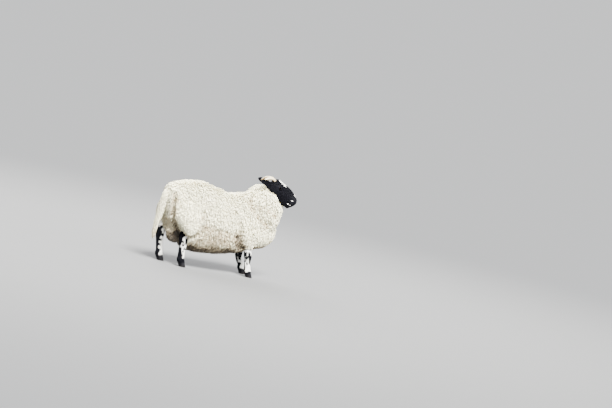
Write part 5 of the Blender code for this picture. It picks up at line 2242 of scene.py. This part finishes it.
@dataclass
class Studio:
    """A pale floor that runs out into the backdrop's tone, soft lights, and the camera."""

    target: tuple[float, float, float] = (0.732, 0.0, 0.639)
    distance: float = 14.366
    azimuth: float = math.radians(-30)
    elevation: float = math.radians(4)
    roll: float = math.radians(13)
    lens: float = 107.06
    film: float = 36.0
    far: float = 200.0
    backdrop: Colour = (0.92, 0.93, 0.94)
    floor_rings: tuple[float, ...] = (0.5, 2.0, 6.0, 15.0, 60.0)
    floor_sides: int = 96
    fade: tuple[float, float] = (1.6, 7.5)  # where the floor begins and ends turning into the backdrop

    @staticmethod
    def stand(data: bpy.types.ID, place: Rows, axes: Sequence[Rows]) -> Object:
        """Puts a camera or a light at a place, with its own three axes turned to those given."""
        obj = bpy.data.objects.new(data.name, data)
        matrix = np.eye(4)
        matrix[:3, :3], matrix[:3, 3] = np.stack(axes, axis=1), place
        obj.matrix_world = Matrix(matrix)
        bpy.context.scene.collection.objects.link(obj)
        return obj

    def camera(self) -> None:
        """Sets the camera back from its target along its line of sight, rolled about it."""
        az, el = self.azimuth, self.elevation
        back = np.array([math.sin(az) * math.cos(el), -math.cos(az) * math.cos(el), math.sin(el)])
        right = np.array([math.cos(az), math.sin(az), 0.0])
        up = np.cross(back, right)
        c, s = math.cos(self.roll), math.sin(self.roll)
        data = bpy.data.cameras.new("camera")
        data.lens, data.sensor_width, data.clip_end = self.lens, self.film, self.far
        place = np.array(self.target) - ORIGIN + self.distance * back
        bpy.context.scene.camera = self.stand(data, place, (c * right + s * up, -s * right + c * up, back))

    def light(self, lamp: Lamp) -> None:
        """Sets up one light."""
        data = bpy.data.lights.new(lamp.name, "SUN")
        data.angle, data.energy, data.color = math.radians(lamp.width), lamp.power, lamp.tone
        back = unit(np.array(lamp.place, float))
        right = unit(np.cross([0, 0, 1.0], back))
        self.stand(data, lamp.place, (right, np.cross(back, right), back))

    def floor(self) -> None:
        """A wide disc whose finish turns into the backdrop's own light with distance."""
        turn, radius = even_angles(self.floor_sides), np.array(self.floor_rings)[:, None]
        level = np.zeros((len(radius), len(turn)))
        rings = beside(radius * np.cos(turn), radius * np.sin(turn), level)
        index = np.arange(level.size).reshape(level.shape)
        after = np.roll(index, -1, axis=1)
        quads = beside(index[:-1], index[1:], after[1:], after[:-1]).reshape(-1, 4)
        points = np.concatenate([rings.reshape(-1, 3), [[0, 0, 0]]])
        fan = beside(index[0], after[0], np.full(len(turn), level.size))
        mesh_object("floor", Shell.plain(points, [quads, fan]), self.floor_finish())

    def floor_finish(self) -> Material:
        """A dull grain that gives way to the backdrop's light away from the middle."""
        material, g, shader = shader_of("floor")
        place = g.place()
        grain = g.mix(g.noise(place, 9.0, 5.0, 0.6), (0.092, 0.094, 0.098), (0.100, 0.102, 0.105))
        g.fill(shader, {"Base Color": grain, "Roughness": 0.9})
        away = g.spread(g.vector("LENGTH", g.stretched(place, (1, 1, 0)))["Value"], *self.fade)
        glow = g.add("ShaderNodeEmission", {"Color": self.backdrop, "Strength": 1.0})
        blend = g.add("ShaderNodeMixShader", {0: away, 1: shader.outputs[0], 2: glow.outputs[0]})
        g.fill(material.node_tree.nodes["Material Output"], {"Surface": blend.outputs[0]})
        return material

    def build(self) -> None:
        """Floor, world, lights and camera."""
        self.floor()
        world = bpy.data.worlds.new("studio")
        world.use_nodes = True
        backdrop = {"Color": self.backdrop, "Strength": 1.0}
        Graph(world.node_tree).fill(world.node_tree.nodes["Background"], backdrop)
        bpy.context.scene.world = world
        for lamp in LAMPS:
            self.light(lamp)
        self.camera()


def main() -> None:
    """Builds the figure and the studio in order, and reports each piece."""
    logging.basicConfig(level=logging.INFO, format="%(name)s: %(message)s")
    ewe = Ewe(Groups())
    pieces = [ewe.skin(), *ewe.hard_parts(), *ewe.fleece(), *ewe.hair()]
    total = sum(report(piece) for piece in pieces)
    log.info("whole figure: %d pieces, %d triangles", len(pieces), total)
    Studio().build()


if __name__ == "__main__":
    main()
